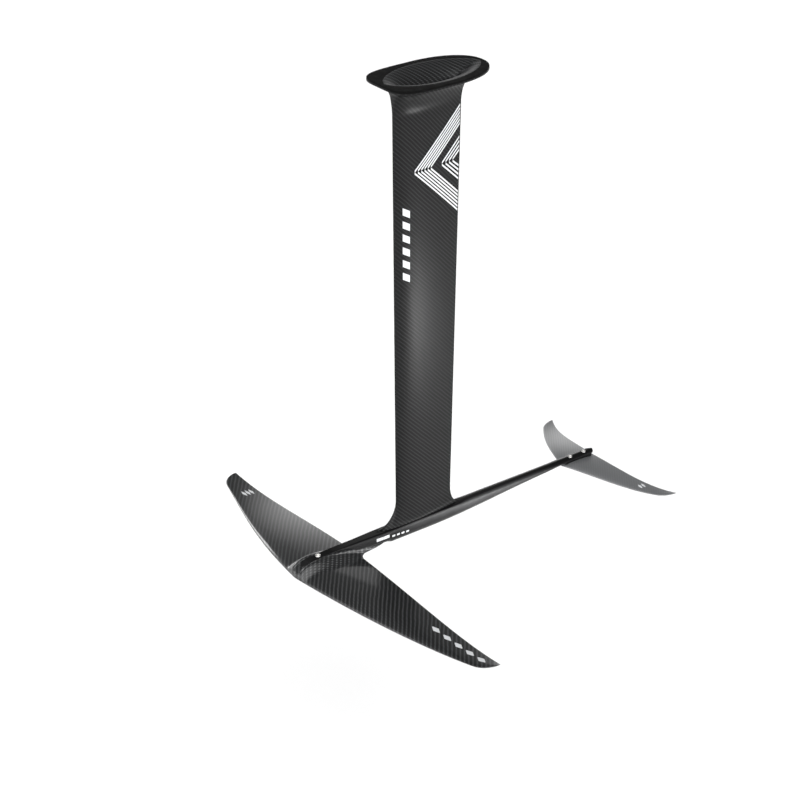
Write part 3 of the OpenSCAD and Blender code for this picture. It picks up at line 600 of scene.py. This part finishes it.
def head_flare():
    n = 232
    angle = 2 * PI * np.arange(n) / n
    u = (1 - np.cos(angle)) / 2
    side = np.sign(np.round(np.sin(angle), 9))
    out = head_outline(angle)
    rings = []
    for t in np.sin(np.linspace(0, PI / 2, 44)):
        z = blend(NECK_Z, FLANGE_Z, t)
        w_side, w_nose = fillet(t), fillet((z - FLANGE_Z + NOSE_FLARE) / NOSE_FLARE)
        w = blend(w_side, w_nose, smooth(np.cos(angle) / 0.6))
        x = blend(mast_x(u, NECK_Z), out[:, 0], w)
        y = blend(side * mast_y(u, NECK_Z), out[:, 1], w_side)
        rings.append(np.c_[x, y, np.full(n, z)])
    rings.append(np.c_[out, np.full(n, -RIM_THICK)])
    for depth in (RIM_THICK - LINER - 0.05, 3.2, 6, 9, 13, 18, 25, 33, 42):
        plan = socket_plan(angle, depth)
        rings.append(np.c_[plan, np.full(n, min(-RIM_THICK, -depth - LINER - 0.05))])
    arc = np.cumsum([0] + [np.linalg.norm(rings[k + 1] - rings[k], axis=1).mean() for k in range(len(rings) - 1)])
    points = np.vstack(rings)
    reach = np.repeat(arc, n)
    uv = np.c_[points[:, 0] * np.where(points[:, 1] < 0, -1, 1), NECK_Z + reach] * MM
    faces = quads(len(rings), n, wrap_cols=True)
    last = (len(rings) - 1) * n
    faces += [list(range(n))[::-1], list(range(last, last + n))]
    return make("head_flare", points, faces, MAST_CARBON, uv, angle=50)


finish_piece(head_flare(), "mast_carbon", "mast_head")


def rim_plate():
    n, r = 232, 0.9
    angle = 2 * PI * np.arange(n) / n
    out = head_outline(angle)
    top_in, low_in = socket_plan(angle, -LINER), socket_plan(angle, RIM_THICK - LINER)
    inward = (top_in - out) / np.linalg.norm(top_in - out, axis=1)[:, None]
    rings = []

    def ring(plan, z):
        rings.append(np.c_[plan, np.full(n, z)])

    ring(low_in, -RIM_THICK)
    ring(out + inward * r * 0.6, -RIM_THICK)
    for t in np.linspace(0, PI / 2, 6):
        ring(out + inward * r * 0.6 * (1 - math.sin(t)), -RIM_THICK + 0.6 * r * (1 - math.cos(t)))
    for t in np.linspace(0, PI / 2, 8):
        ring(out + inward * r * (1 - math.cos(t)), -r + r * math.sin(t))
    for share in (0.33, 0.66):
        ring(blend(out, top_in, share), 0)
    for t in np.linspace(0, PI / 2, 6):
        ring(top_in - inward * 0.5 * (1 - math.sin(t)), -0.5 * (1 - math.cos(t)))
    points = np.vstack(rings)
    faces = quads(len(rings), n, wrap_rows=True, wrap_cols=True)
    return make("head_rim_plate", points, faces, RIM_MATTE, angle=50)


finish_piece(rim_plate(), "matte_black", "head_rim")


def socket_lining():
    n = 176
    angle = 2 * PI * np.arange(n) / n
    rings = []
    for depth in (42, 33, 25, 18, 13, 9, 6, 3.8, 2.2, 1):
        rings.append(np.c_[socket_plan(angle, depth), np.full(n, -depth - LINER)])
    depths = np.concatenate([[-LINER], -LINER + 1.2 * np.linspace(0.1, 1, 8), SOCKET_DEPTH * np.linspace(0.03, 1, 44) ** 1.25])
    for depth in depths:
        z = -(depth + math.hypot(depth, 0.9)) / 2 + 0.12
        rings.append(np.c_[socket_plan(angle, depth), np.full(n, max(z, -SOCKET_DEPTH))])
    arc = np.cumsum([0] + [np.linalg.norm(rings[k + 1] - rings[k], axis=1).mean() for k in range(len(rings) - 1)])
    points = np.vstack(rings)
    reach = np.repeat(arc, n)
    flip = np.where(points[:, 1] < 0, -1, 1)
    uv = np.c_[points[:, 0] * flip, reach] * MM
    faces = quads(len(rings), n, wrap_cols=True)
    last = (len(rings) - 1) * n
    faces += [list(range(n))[::-1], list(range(last, last + n))]
    lining = make("socket_lining", points, faces, SOCKET_CARBON, uv, angle=50)
    holes = []
    for x in SCREW_XS:
        holes.append(turned("hole", [(0, -4), (5.6, -4), (5.6, 4), (0, 4)], (x, 0, -SOCKET_DEPTH - 0.6), SOCKET_CARBON))
    cut(lining, *holes, angle=50)
    return lining


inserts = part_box("head_threaded_inserts")
INSERT_R = 5.5
SCREW_XS = (inserts[HIGH][X] / MM - INSERT_R, inserts[LOW][X] / MM + INSERT_R)
finish_piece(socket_lining(), "gloss_carbon", "head_socket_liner")

# ---------------------------------------------------------------- front wing

SEMISPAN, ROOT_CHORD = 405.0, 135.7
WING_NOSE = cad("front_wing_upper_skin", HIGH, X)
WING_Z = TOP_Z - 27
FAIRING_END, FAIRING_HALF, FAIRING_FILLET = 95.0, 10.0, 16.0
FAIRING_REACH = WING_NOSE - ROOT_CHORD - FAIRING_END
HUMP, HUMP_FLAT, HUMP_EDGE = 14.5, 12.5, 30.0
WING_SKIN = 1.2


def tip_round(s, start):
    return np.where(s < start, 1.0, np.sqrt(np.maximum(0, 1 - ((np.maximum(s, start) - start) / (1 - start)) ** 3)))


def fairing(y):
    a, edge = abs(y), FAIRING_HALF + FAIRING_FILLET
    if a >= edge:
        return 0.0
    if a >= FAIRING_HALF:
        return FAIRING_FILLET - math.sqrt(max(0, FAIRING_FILLET**2 - (edge - a) ** 2))
    return FAIRING_FILLET + (FAIRING_REACH - FAIRING_FILLET) * math.sqrt(1 - (a / FAIRING_HALF) ** 2)


class FrontWing:
    """The front wing's surfaces, by span y and chordwise share u."""

    def __init__(self, y):
        s = min(1.0, abs(y) / SEMISPAN)
        base = ROOT_CHORD * (1 - 0.37 * s - 0.59 * s**2 + 0.19 * s**4)
        reach = fairing(y)
        tip = float(tip_round(s, 0.92))
        self.tail = WING_NOSE - (42.2 * s + 106.6 * s**2 - 38.6 * s**4) - base - reach
        self.chord = (base + reach) * tip
        self.z = WING_Z - (67.2 * s**2 - 46.2 * s**4)
        self.lift = 3 * reach / FAIRING_REACH
        hump = HUMP * (1 - smooth((abs(y) - HUMP_FLAT) / (HUMP_EDGE - HUMP_FLAT)))
        self.crown = (2 + 9 * (1 - s) ** 1.1) * tip**0.5 + hump
        self.belly = (1 + 4 * (1 - s)) * tip**0.5

    def x(self, u):
        return self.tail + self.chord * (1 - u)

    def u(self, x):
        return (self.tail + self.chord - x) / self.chord

    def mid(self, u):
        return self.z + self.lift * np.clip(u, 0, 1) ** 2

    def top(self, u):
        return self.mid(u) + self.crown * foil(u)

    def bottom(self, u):
        return self.mid(u) - self.belly * foil(u)


def over_wing(x, y):
    w = FrontWing(y)
    u = w.u(x)
    return -2000.0 if u < 0 or u > 1 else float(w.top(u))


def skin_pair(names, low_node, section, ys, skin, material, angle=34):
    """Upper and lower skins of a wing: closed shells that meet along the nose and the tail."""
    us = chord_steps(60)
    lowest = cad(low_node, LOW, Z)
    pair = []
    for name, is_top in zip(names, (True, False)):
        points = []
        for y in ys:
            w = section(y)
            x, mid = w.x(us), w.mid(us)
            face = w.top(us) if is_top else np.maximum(w.bottom(us), lowest)
            seam = 0.02 * foil(us)
            inner = np.maximum(mid + seam, face - skin) if is_top else np.minimum(mid - seam, face + skin)
            ring = np.vstack([np.c_[x, face], np.c_[x, inner][-2:0:-1]])
            points.append(np.c_[ring[:, 0], np.full(len(ring), y), ring[:, 1]])
        cols = len(points[0])
        points = np.vstack(points)
        faces = quads(len(ys), cols, wrap_cols=True)
        last = (len(ys) - 1) * cols
        faces += [list(range(cols)), list(range(last, last + cols))[::-1]]
        pair.append(make(name, points, faces, material, points[:, :2] * MM, angle=angle))
    return pair


def both_sides(half):
    half = np.asarray(half, float)
    return np.concatenate([-half[::-1], [0.0], half])


def wing_spans():
    bullet = FAIRING_HALF * np.sin(np.linspace(0, PI / 2, 16)[1:])
    corner = FAIRING_HALF + FAIRING_FILLET * (1 - np.cos(np.linspace(0, PI / 2, 16)[1:]))
    plain = np.linspace(30, 0.92 * SEMISPAN, 74)
    tip = SEMISPAN * (0.92 + 0.08 * np.sin(np.linspace(0, PI / 2 * 0.92, 22)[1:]))
    return both_sides(np.concatenate([bullet, corner, plain, tip]))


upper, lower = skin_pair(
    ("wing_upper_skin", "wing_lower_skin"), "front_wing_lower_skin", FrontWing, wing_spans(), WING_SKIN, WING_CARBON
)

# The slot in the root for the fuselage's tongue
FUSE_NOSE = cad("fuselage_shell_port", HIGH, X) + 0.15
FUSE_TAIL = cad("fuselage_shell_port", LOW, X) - 0.15
TONGUE = 8.0
SLOT_END = FUSE_NOSE - TONGUE
SLOT_GAP = 0.25


def slot_floor(x):
    return TOP_Z - 16 - 0.0403 * (281 - x)


turn = np.linspace(-PI / 2, PI / 2, 33)
half = TONGUE + SLOT_GAP
slot_outline = [(60.0, half), (60.0, -half)] + [(SLOT_END + half * math.cos(t), half * math.sin(t)) for t in turn]
slot_cut = prism("slot", slot_outline, TOP_Z - 19, TOP_Z + 30, WING_CARBON)
cut(upper, slot_cut, angle=34)
finish_piece(upper, "gloss_carbon", "front_wing_upper_skin")

BOLT_XS = (205.0, 165.0)
root = FrontWing(0)
seats = []
for x in BOLT_XS:
    z = float(root.bottom(root.u(x)))
    seats.append(
        turned("seat", [(0, -4), (5.95, -4), (5.95, 0), (3.15, 3.3), (3.15, 9), (0, 9)], (x, 0, z), WING_CARBON)
    )
cut(lower, *seats, angle=34)
finish_piece(lower, "gloss_carbon", "front_wing_lower_skin")

# ---------------------------------------------------------------- stabilizer

STAB_SPAN, STAB_CHORD = 181.0, 78.5
STAB_NOSE = -cad("stabilizer_upper_skin", HIGH, X)
STAB_Z = TOP_Z - 12.8
STAB_SKIN = 0.9


class Stabilizer:
    def __init__(self, y):
        s = min(1.0, abs(y) / STAB_SPAN)
        base = STAB_CHORD * (1 - 0.72 * s + 0.02 * s**2)
        tip = float(tip_round(s, 0.9))
        self.tail = -STAB_NOSE - (65.0 * s + 39.0 * s**2 + 6.3 * s**4) - base
        self.chord = base * tip
        self.z = STAB_Z - (45.2 * s**2 - 22.1 * s**4)
        self.half = (1.3 + 3.2 * (1 - s)) * tip**0.5

    def x(self, u):
        return self.tail + self.chord * (1 - u)

    def u(self, x):
        return (self.tail + self.chord - x) / self.chord

    def mid(self, u):
        return self.z + 0 * u

    def top(self, u):
        return self.z + self.half * foil(u)

    def bottom(self, u):
        return self.z - self.half * foil(u)


stab_half = np.concatenate(
    [np.linspace(2.5, 0.9 * STAB_SPAN, 56), STAB_SPAN * (0.9 + 0.1 * np.sin(np.linspace(0, PI / 2 * 0.93, 24)[1:]))]
)
stab_upper, stab_lower = skin_pair(
    ("stabilizer_upper", "stabilizer_lower"),
    "stabilizer_lower_skin",
    Stabilizer,
    both_sides(stab_half),
    STAB_SKIN,
    STAB_CARBON,
)
STAB_BOLTS = (-350.0, -384.0)
stab_root = Stabilizer(0)


def tee_bottom(x):
    return float(stab_root.bottom(stab_root.u(x))) + 0.1


cut(
    stab_upper,
    *[turned("h", [(0, -9), (2.7, -9), (2.7, 9), (0, 9)], (x, 0, STAB_Z + 4), STAB_CARBON) for x in STAB_BOLTS],
    angle=34,
)
cut(
    stab_lower,
    *[turned("h", [(0, -3), (5.65, -3), (5.65, 1.05), (3.65, 1.05), (3.65, 6), (0, 6)], (x, 0, tee_bottom(x)), STAB_CARBON) for x in STAB_BOLTS],
    angle=34,
)
finish_piece(stab_upper, "gloss_carbon", "stabilizer_upper_skin")
finish_piece(stab_lower, "gloss_carbon", "stabilizer_lower_skin")

# ---------------------------------------------------------------- fuselage

DEPTH, TAIL_DEPTH, TAIL_STEP, HALF_WIDTH, TAIL_ROUND = 27.5, 7.5, 2.5, 12.3, 11.0


def fuse_section(x):
    """Half of the beam's section, as (y, z) from the top centre round to the bottom centre."""
    k = 1.0
    if x > SLOT_END:
        k = math.sqrt(max(0, 1 - ((x - SLOT_END) / TONGUE) ** 2))
    t = (FUSE_TAIL + TAIL_ROUND - x) / TAIL_ROUND
    if t > 0:
        k = math.sqrt(max(0, 1 - t * t))
    if x > 95:
        w = blend(HALF_WIDTH, TONGUE, smooth((x - 95) / 120))
    else:
        w = blend(HALF_WIDTH, 9.6, smooth((-60 - x) / 280))
    if x < 215:
        top = TOP_Z
    elif x < 245:
        top = blend(TOP_Z, TOP_Z - 0.9, (x - 215) / 30)
    else:
        top = min(TOP_Z - 0.9, over_wing(x, TONGUE) + 0.6)
    inside = smooth((x - 84) / 12)
    keel = TOP_Z - DEPTH + TAIL_STEP * (1 - smooth((x + 330) / 60))
    keel += (DEPTH - TAIL_STEP - TAIL_DEPTH) * smooth(-x / 330)
    floor = blend(keel, max(slot_floor(x) + 0.1, top - 40), inside)
    deep = top - floor
    joint, joint_in = max(floor, over_wing(x, w) + 0.3), max(floor, over_wing(x, TONGUE) + 0.3)
    side = blend(floor + 0.3 * deep, max(floor + 0.22 * deep, min(top - 2, joint)), inside)
    step = blend(floor + 0.08 * deep, max(floor + 0.16 * deep, min(top - 2.6, joint_in)), inside)
    flat = blend(0.74 * w, w - 0.5, smooth((x - 150) / 60))
    crown = 1.4 * smooth((-55 - x) / 45)
    return np.array(
        [
            [0, top],
            [0.5 * flat * k, top - 0.25 * crown],
            [flat * k, top - crown],
            [blend(flat, w, 0.7) * k, top - crown - min(1.1, 0.12 * deep)],
            [w * k, blend(top, side, 0.45)],
            [blend(0.97 * w, w, inside) * k, side],
            [blend(0.75 * w, TONGUE, inside) * k, step],
            [blend(0.4 * w, TONGUE, inside) * k, floor],
            [0, floor],
        ]
    )


def fuselage():
    ends = TAIL_ROUND * (1 - np.cos(np.linspace(0.1, PI / 2, 14)))
    nose = TONGUE * np.sin(np.linspace(0, PI / 2 * 0.97, 14)[1:])
    xs = np.concatenate(
        [FUSE_TAIL + ends, np.linspace(FUSE_TAIL + TAIL_ROUND + 4, 80, 90), np.linspace(82, SLOT_END, 110), SLOT_END + nose]
    )
    rings = []
    for x in xs:
        line = chaikin(fuse_section(x), 3)
        ring = np.vstack([line, (line * [-1, 1])[-2:0:-1]])
        rings.append(np.c_[np.full(len(ring), x), ring])
    cols = len(rings[0])
    points = np.vstack(rings)
    faces = quads(len(rings), cols, wrap_cols=True)
    last = (len(rings) - 1) * cols
    faces += [list(range(cols)), list(range(last, last + cols))[::-1]]
    beam = make("fuselage_beam", points, faces, BLACK_GLOSS, angle=36)
    holes = [
        turned("h", [(0, -30), (3.2, -30), (3.2, 0), (5.5, 0), (5.5, 3.1), (6.4, 4.2), (6.4, 12), (0, 12)], (NOSE_BOLT_X, 0, NOSE_SEAT), BLACK_GLOSS)
    ]
    for x in STAB_BOLTS:
        holes.append(
            turned("h", [(0, -12), (2.7, -12), (2.7, 0), (4.85, 0), (4.85, 2.0), (5.3, 2.5), (5.3, 9), (0, 9)], (x, 0, STAB_SEAT), BLACK_GLOSS)
        )
    for x in BOLT_XS:
        holes.append(turned("h", [(0, -1), (4.82, -1), (4.82, 12.22), (0, 12.22)], (x, 0, slot_floor(x)), BLACK_GLOSS))
    cut(beam, *holes, angle=36)
    return beam


NOSE_BOLT_X = (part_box("front_wing_nose_bolt")[LOW][X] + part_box("front_wing_nose_bolt")[HIGH][X]) / 2 / MM
NOSE_SEAT = TOP_Z - 4
STAB_SEAT = TOP_Z - 2.4
finish_piece(fuselage(), "gloss_black", "fuselage_shell_port", "fuselage_shell_starboard")


def hexagon_cut(across, low, high, centre):
    r = across / 2 / math.cos(PI / 6)
    outline = [(centre[0] + r * math.cos(k * PI / 3), centre[1] + r * math.sin(k * PI / 3)) for k in range(6)]
    return prism("key", outline, centre[2] + low, centre[2] + high, STEEL)


def cap_bolt(name, x, seat, head_r, head_h, shank_r, shank, key):
    edge = 0.12 * head_r
    profile = [(0, -shank), (shank_r - 0.4, -shank), (shank_r, -shank + 0.5), (shank_r, 0), (head_r - 0.15, 0), (head_r, 0.2)]
    profile += [(head_r, head_h - edge), (head_r - 0.3 * edge, head_h - 0.3 * edge), (head_r - edge, head_h)]
    profile += [(key / 2 * 1.28, head_h), (key / 2 * 1.14, head_h - 0.35), (0, head_h - 0.35)]
    bolt = turned(name, profile, (x, 0, seat), STEEL)
    cut(bolt, hexagon_cut(key, head_h * 0.45, head_h + 2, (x, 0, seat)), angle=30)
    return bolt


nose_low = cad("front_wing_nose_bolt", LOW, Z)
finish_piece(
    cap_bolt("front_wing_cap_bolt", NOSE_BOLT_X, NOSE_SEAT, 5.0, 4.6, 2.95, NOSE_SEAT - nose_low, 5.0),
    "stainless",
    "front_wing_nose_bolt",
)
stab_bolt_pieces = [
    cap_bolt(f"stabilizer_cap_bolt_{tag}", x, STAB_SEAT, 4.25, 3.4, 2.45, STAB_SEAT - tee_bottom(x) - 1, 3.0)
    for tag, x in zip(("front", "rear"), STAB_BOLTS)
]
finish_piece(stab_bolt_pieces[0], "stainless", "stabilizer_bolts")
finish_piece(stab_bolt_pieces[1], "stainless", "stabilizer_bolts")


def countersunk_bolt(name, x):
    z = float(root.bottom(root.u(x))) + 0.2
    end = slot_floor(x) + 12 - 1.5 - z
    profile = [(0, 0), (5.6, 0), (5.8, 0.25), (2.95, 3.3), (2.95, end - 0.5), (2.5, end), (0, end)]
    bolt = turned(name, profile, (x, 0, z), STEEL)
    cut(bolt, hexagon_cut(4.0, -1, 2, (x, 0, z)), angle=30)
    return bolt


for tag, x in zip(("front", "rear"), BOLT_XS):
    finish_piece(countersunk_bolt(f"front_wing_countersunk_bolt_{tag}", x), "stainless", "front_wing_lower_bolts")


def tee_nut(name, x):
    z = tee_bottom(x)
    tall = float(stab_root.top(stab_root.u(x))) - STAB_SKIN - 0.2 - z
    nut = turned(name, [(0, 0), (5.3, 0), (5.6, 0.3), (5.6, 0.8), (5.4, 1), (3.6, 1), (3.6, tall), (0, tall)], (x, 0, z), STEEL)
    cut(nut, turned("h", [(0, -1), (2.9, -1), (2.5, 0.4), (2.5, tall + 1), (0, tall + 1)], (x, 0, z), STEEL), angle=30)
    return nut


for tag, x in zip(("front", "rear"), STAB_BOLTS):
    finish_piece(tee_nut(f"stabilizer_tee_nut_{tag}", x), "stainless", "stabilizer_tee_nuts")


def saddle():
    """Packing piece between the tail's flat underside and the stabilizer."""
    low_x, high_x = cad("stabilizer_saddle", LOW, X), cad("stabilizer_saddle", HIGH, X)
    top = cad("stabilizer_saddle", HIGH, Z)
    xs = np.linspace(low_x, high_x, 41)
    rings = []
    for x in xs:
        edge = min(1.0, (x - low_x) / 3, (high_x - x) / 3)
        w = 8.0 - 1.5 * (1 - math.sqrt(max(0, 1 - (1 - edge) ** 2)))
        ys = np.array([-w, -w * 0.5, 0, w * 0.5, w])
        low = [float(Stabilizer(y).top(Stabilizer(y).u(x))) + 0.15 for y in ys]
        ring = [[x, -w, top - 0.5], [x, -w + 0.5, top], [x, w - 0.5, top], [x, w, top - 0.5]]
        ring += [[x, y, min(z, top - 0.6)] for y, z in zip(ys[::-1], low[::-1])]
        rings.append(ring)
    cols = len(rings[0])
    points = np.vstack(rings)
    faces = quads(len(rings), cols, wrap_cols=True)
    last = (len(rings) - 1) * cols
    faces += [list(range(cols)), list(range(last, last + cols))[::-1]]
    block = make("stabilizer_saddle_block", points, faces, SADDLE_MATTE, angle=30)
    cut(block, *[turned("h", [(0, -9), (2.7, -9), (2.7, 9), (0, 9)], (x, 0, top), SADDLE_MATTE) for x in STAB_BOLTS], angle=30)
    return block


finish_piece(saddle(), "matte_black", "stabilizer_saddle")

# ---------------------------------------------------------------- graphics


def film_sheet(grid, out):
    """Points and faces of a thin closed film lying on a surface, from a grid of surface points."""
    grid = np.asarray(grid, float)
    rows, cols = grid.shape[:2]
    out = np.asarray(out, float)
    low, high = (grid + out * LIFT).reshape(-1, 3), (grid + out * (LIFT + THICK)).reshape(-1, 3)
    n = rows * cols
    edge = [j for j in range(cols)] + [i * cols + cols - 1 for i in range(1, rows)]
    edge += [(rows - 1) * cols + j for j in range(cols - 2, -1, -1)] + [i * cols for i in range(rows - 2, 0, -1)]
    faces = quads(rows, cols, first=n) + [face[::-1] for face in quads(rows, cols)]
    faces += [[b, a, a + n, b + n] for a, b in zip(edge, edge[1:] + edge[:1])]
    return np.vstack([low, high]), faces


def gather(name, sheets, *nodes):
    points, faces = [], []
    for p, f in sheets:
        first = len(points)
        points.extend(p.tolist())
        faces.extend([[i + first for i in face] for face in f])
    piece = make(name, points, faces, FILM, angle=30)
    return finish_piece(piece, "film", *nodes)


LIFT, THICK = 0.04, 0.10
PORT, UP = (0, 1.0, 0), (0, 0, 1.0)


def mast_strip(u_a, z_a, u_b, z_b, tall, n=30):
    k = np.linspace(0, 1, n)
    u, z = blend(u_a, u_b, k), blend(z_a, z_b, k)
    rows = [np.c_[mast_x(u, z + d), mast_y(u, z + d), z + d] for d in (-tall / 2, tall / 2)]
    return film_sheet(rows, PORT)


CHEVRON_Z, CHEVRON_TAIL, CHEVRON_RISE, LINE = -166.0, 0.985, 134.0, 3.6
sheets = []
for tip in [0.27 + 0.05 * k for k in range(6)] + [0.7 + 0.06 * k for k in range(4)]:
    rise = CHEVRON_RISE * (CHEVRON_TAIL - tip)
    for sign in (1, -1):
        sheets.append(
            mast_strip(tip, CHEVRON_Z + sign * LINE / 2, CHEVRON_TAIL, CHEVRON_Z + sign * rise, LINE)
        )
for k in range(6):
    sheets.append(mast_strip(0.1, -232 - 24 * k, 0.2, -240 - 24 * k, 13))
gather("mast_pinstripes", sheets, "mast_graphic")


def side_y(x, z):
    """Half-width of the fuselage at a height."""
    line = chaikin(fuse_section(x), 3)
    line = line[np.argmax(line[:, 1] < TOP_Z - 0.5) :]
    return float(np.interp(-z, -line[:, 1], line[:, 0]))


def fuse_dash(x, low, length, tall):
    xs = np.linspace(x, x + length, 10)
    return film_sheet([[[v, side_y(v, z), z] for v in xs] for z in np.linspace(TOP_Z - low, TOP_Z - low + tall, 5)], PORT)


DASH_X = 93.0
sheets = [fuse_dash(DASH_X, 12.5, 14, 6), fuse_dash(DASH_X + 14.4, 12.3, 14, 6)]
sheets += [fuse_dash(DASH_X - 13 - 10.5 * k, 14.2 + 0.6 * k, 6.5, 3.6) for k in range(4)]
gather("fuselage_dashes", sheets, "fuselage_graphic")


def lozenge(section, x, y, long, wide):
    rows = []
    for t in np.linspace(-1, 1, 13):
        w = section(y + wide * t)
        xs = x + long * (1 - 0.85 * abs(t)) * np.linspace(-1, 1, 9)
        rows.append([[v, y + wide * t, float(w.top(w.u(v)))] for v in xs])
    return film_sheet(rows, UP)


sheets = [lozenge(FrontWing, 176.5 + 8 * k, -328.5, 3.4, 10) for k in (-1, 0, 1)]
sheets += [lozenge(FrontWing, 180 - 2.5 * k, 262 + 28 * k, 6, 10) for k in range(5)]
gather("front_wing_lozenges", sheets, "front_wing_graphic")
gather("stabilizer_lozenges", [lozenge(Stabilizer, -414 - 8 * k, 131, 3, 6) for k in (0, 1)], "stabilizer_graphic")

# ---------------------------------------------------------------- stage, light and camera

low_corner, high_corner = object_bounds()
floor_z = low_corner.z - 0.42


def floor():
    n = Nodes("pale_floor")
    shade_of_grey = n.noise(n.place(), 3.0, 2.0)
    n.set(Base_Color=n.mix(shade_of_grey, grey(0.95), grey(0.97)), Roughness=0.9, Specular_IOR_Level=0.1)
    mesh = bpy.data.meshes.new("floor")
    side = 60.0
    mesh.from_pydata(
        [(-side, -side, floor_z), (side, -side, floor_z), (side, side, floor_z), (-side, side, floor_z)],
        [],
        [(0, 1, 2, 3)],
    )
    plane = bpy.data.objects.new("floor", mesh)
    bpy.context.collection.objects.link(plane)
    mesh.materials.append(n.material)
    plane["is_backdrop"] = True


floor()


def studio():
    """Soft room: a bright band low round the horizon, a dark ceiling, and a big bright wall of light to one side."""
    world = bpy.data.worlds.new("studio")
    bpy.context.scene.world = world
    world.use_nodes = True
    tree = world.node_tree
    tree.nodes.clear()
    add, link = tree.nodes.new, tree.links.new
    sky, out = add("ShaderNodeBackground"), add("ShaderNodeOutputWorld")
    link(sky.outputs[0], out.inputs[0])
    place, split = add("ShaderNodeTexCoord"), add("ShaderNodeSeparateXYZ")
    link(place.outputs["Generated"], split.inputs[0])

    def ramp(value, *stops):
        node = add("ShaderNodeValToRGB")
        line = node.color_ramp.elements
        for k, (at, v) in enumerate(stops):
            stop = line[k] if k < 2 else line.new(at)
            stop.position, stop.color = at, (v, v, v, 1)
        link(value, node.inputs[0])
        return node.outputs[0]

    band = ramp(split.outputs[2], *BAND)
    towards = add("ShaderNodeVectorMath")
    towards.operation = "DOT_PRODUCT"
    link(place.outputs["Generated"], towards.inputs[0])
    towards.inputs[1].default_value = (math.cos(WALL_AZIMUTH) * 0.94, math.sin(WALL_AZIMUTH) * 0.94, 0.34)
    wall = ramp(towards.outputs["Value"], *WALL)
    total = add("ShaderNodeMix")
    total.data_type, total.blend_type = "RGBA", "ADD"
    total.inputs[0].default_value = 1.0
    link(band, total.inputs[6])
    link(wall, total.inputs[7])
    link(total.outputs[2], sky.inputs[0])
    sky.inputs[1].default_value = 2.4


WALL_AZIMUTH = math.radians(45.0)
BAND = ((0.0, 0.8), (1.0, 0.05), (0.14, 0.75), (0.2, 0.46), (0.25, 0.33), (0.32, 0.18), (0.42, 0.06))
WALL = ((0.2, 0.0), (1.0, 1.0), (0.6, 0.85))
studio()


def softbox(name, at, to, wide, tall, radiance):
    """Area lamp of a given radiance, in W per square metre per steradian."""
    lamp = bpy.data.lights.new(name, "AREA")
    lamp.shape, lamp.size, lamp.size_y = "RECTANGLE", wide, tall
    lamp.energy = radiance * PI * wide * tall
    holder = bpy.data.objects.new(name, lamp)
    bpy.context.collection.objects.link(holder)
    holder.location = at
    holder.rotation_mode = "QUATERNION"
    holder.rotation_quaternion = (Vector(to) - Vector(at)).to_track_quat("-Z", "Y")
    holder.visible_camera = False


def pool(name, x, y, side, above, radiance):
    """A lamp close over the floor that makes a soft bright pool for the dark gloss to mirror."""
    softbox(name, (x, y, floor_z + above), (x, y, floor_z), side, side, radiance)


pool("pool_for_mast", -1.10, 1.45, 0.42, 0.32, 32)
pool("pool_for_fuselage", -0.47, 0.24, 0.16, 0.14, 4)
softbox("starboard_strip", (0.45, -2.1, -0.25), (0.15, -0.15, -0.88), 0.6, 0.5, 5.5)
softbox("root_glow", (-0.50, -0.74, -0.315), (0.184, 0.07, -0.873), 0.28, 0.2, 0.5)

view_azimuth, view_elevation = math.radians(52.94), math.radians(28.04)
back = Vector(
    (
        math.cos(view_azimuth) * math.cos(view_elevation),
        math.sin(view_azimuth) * math.cos(view_elevation),
        math.sin(view_elevation),
    )
)
lens = bpy.data.cameras.new("camera")
lens.lens, lens.sensor_width = 99.05, 36.0
camera = bpy.data.objects.new("camera", lens)
bpy.context.collection.objects.link(camera)
camera.location = (2.13286, 2.74494, 1.23639)
camera.rotation_mode = "QUATERNION"
camera.rotation_quaternion = (-back).to_track_quat("-Z", "Y")
bpy.context.scene.camera = camera
bpy.context.scene.view_settings.view_transform = "Standard"
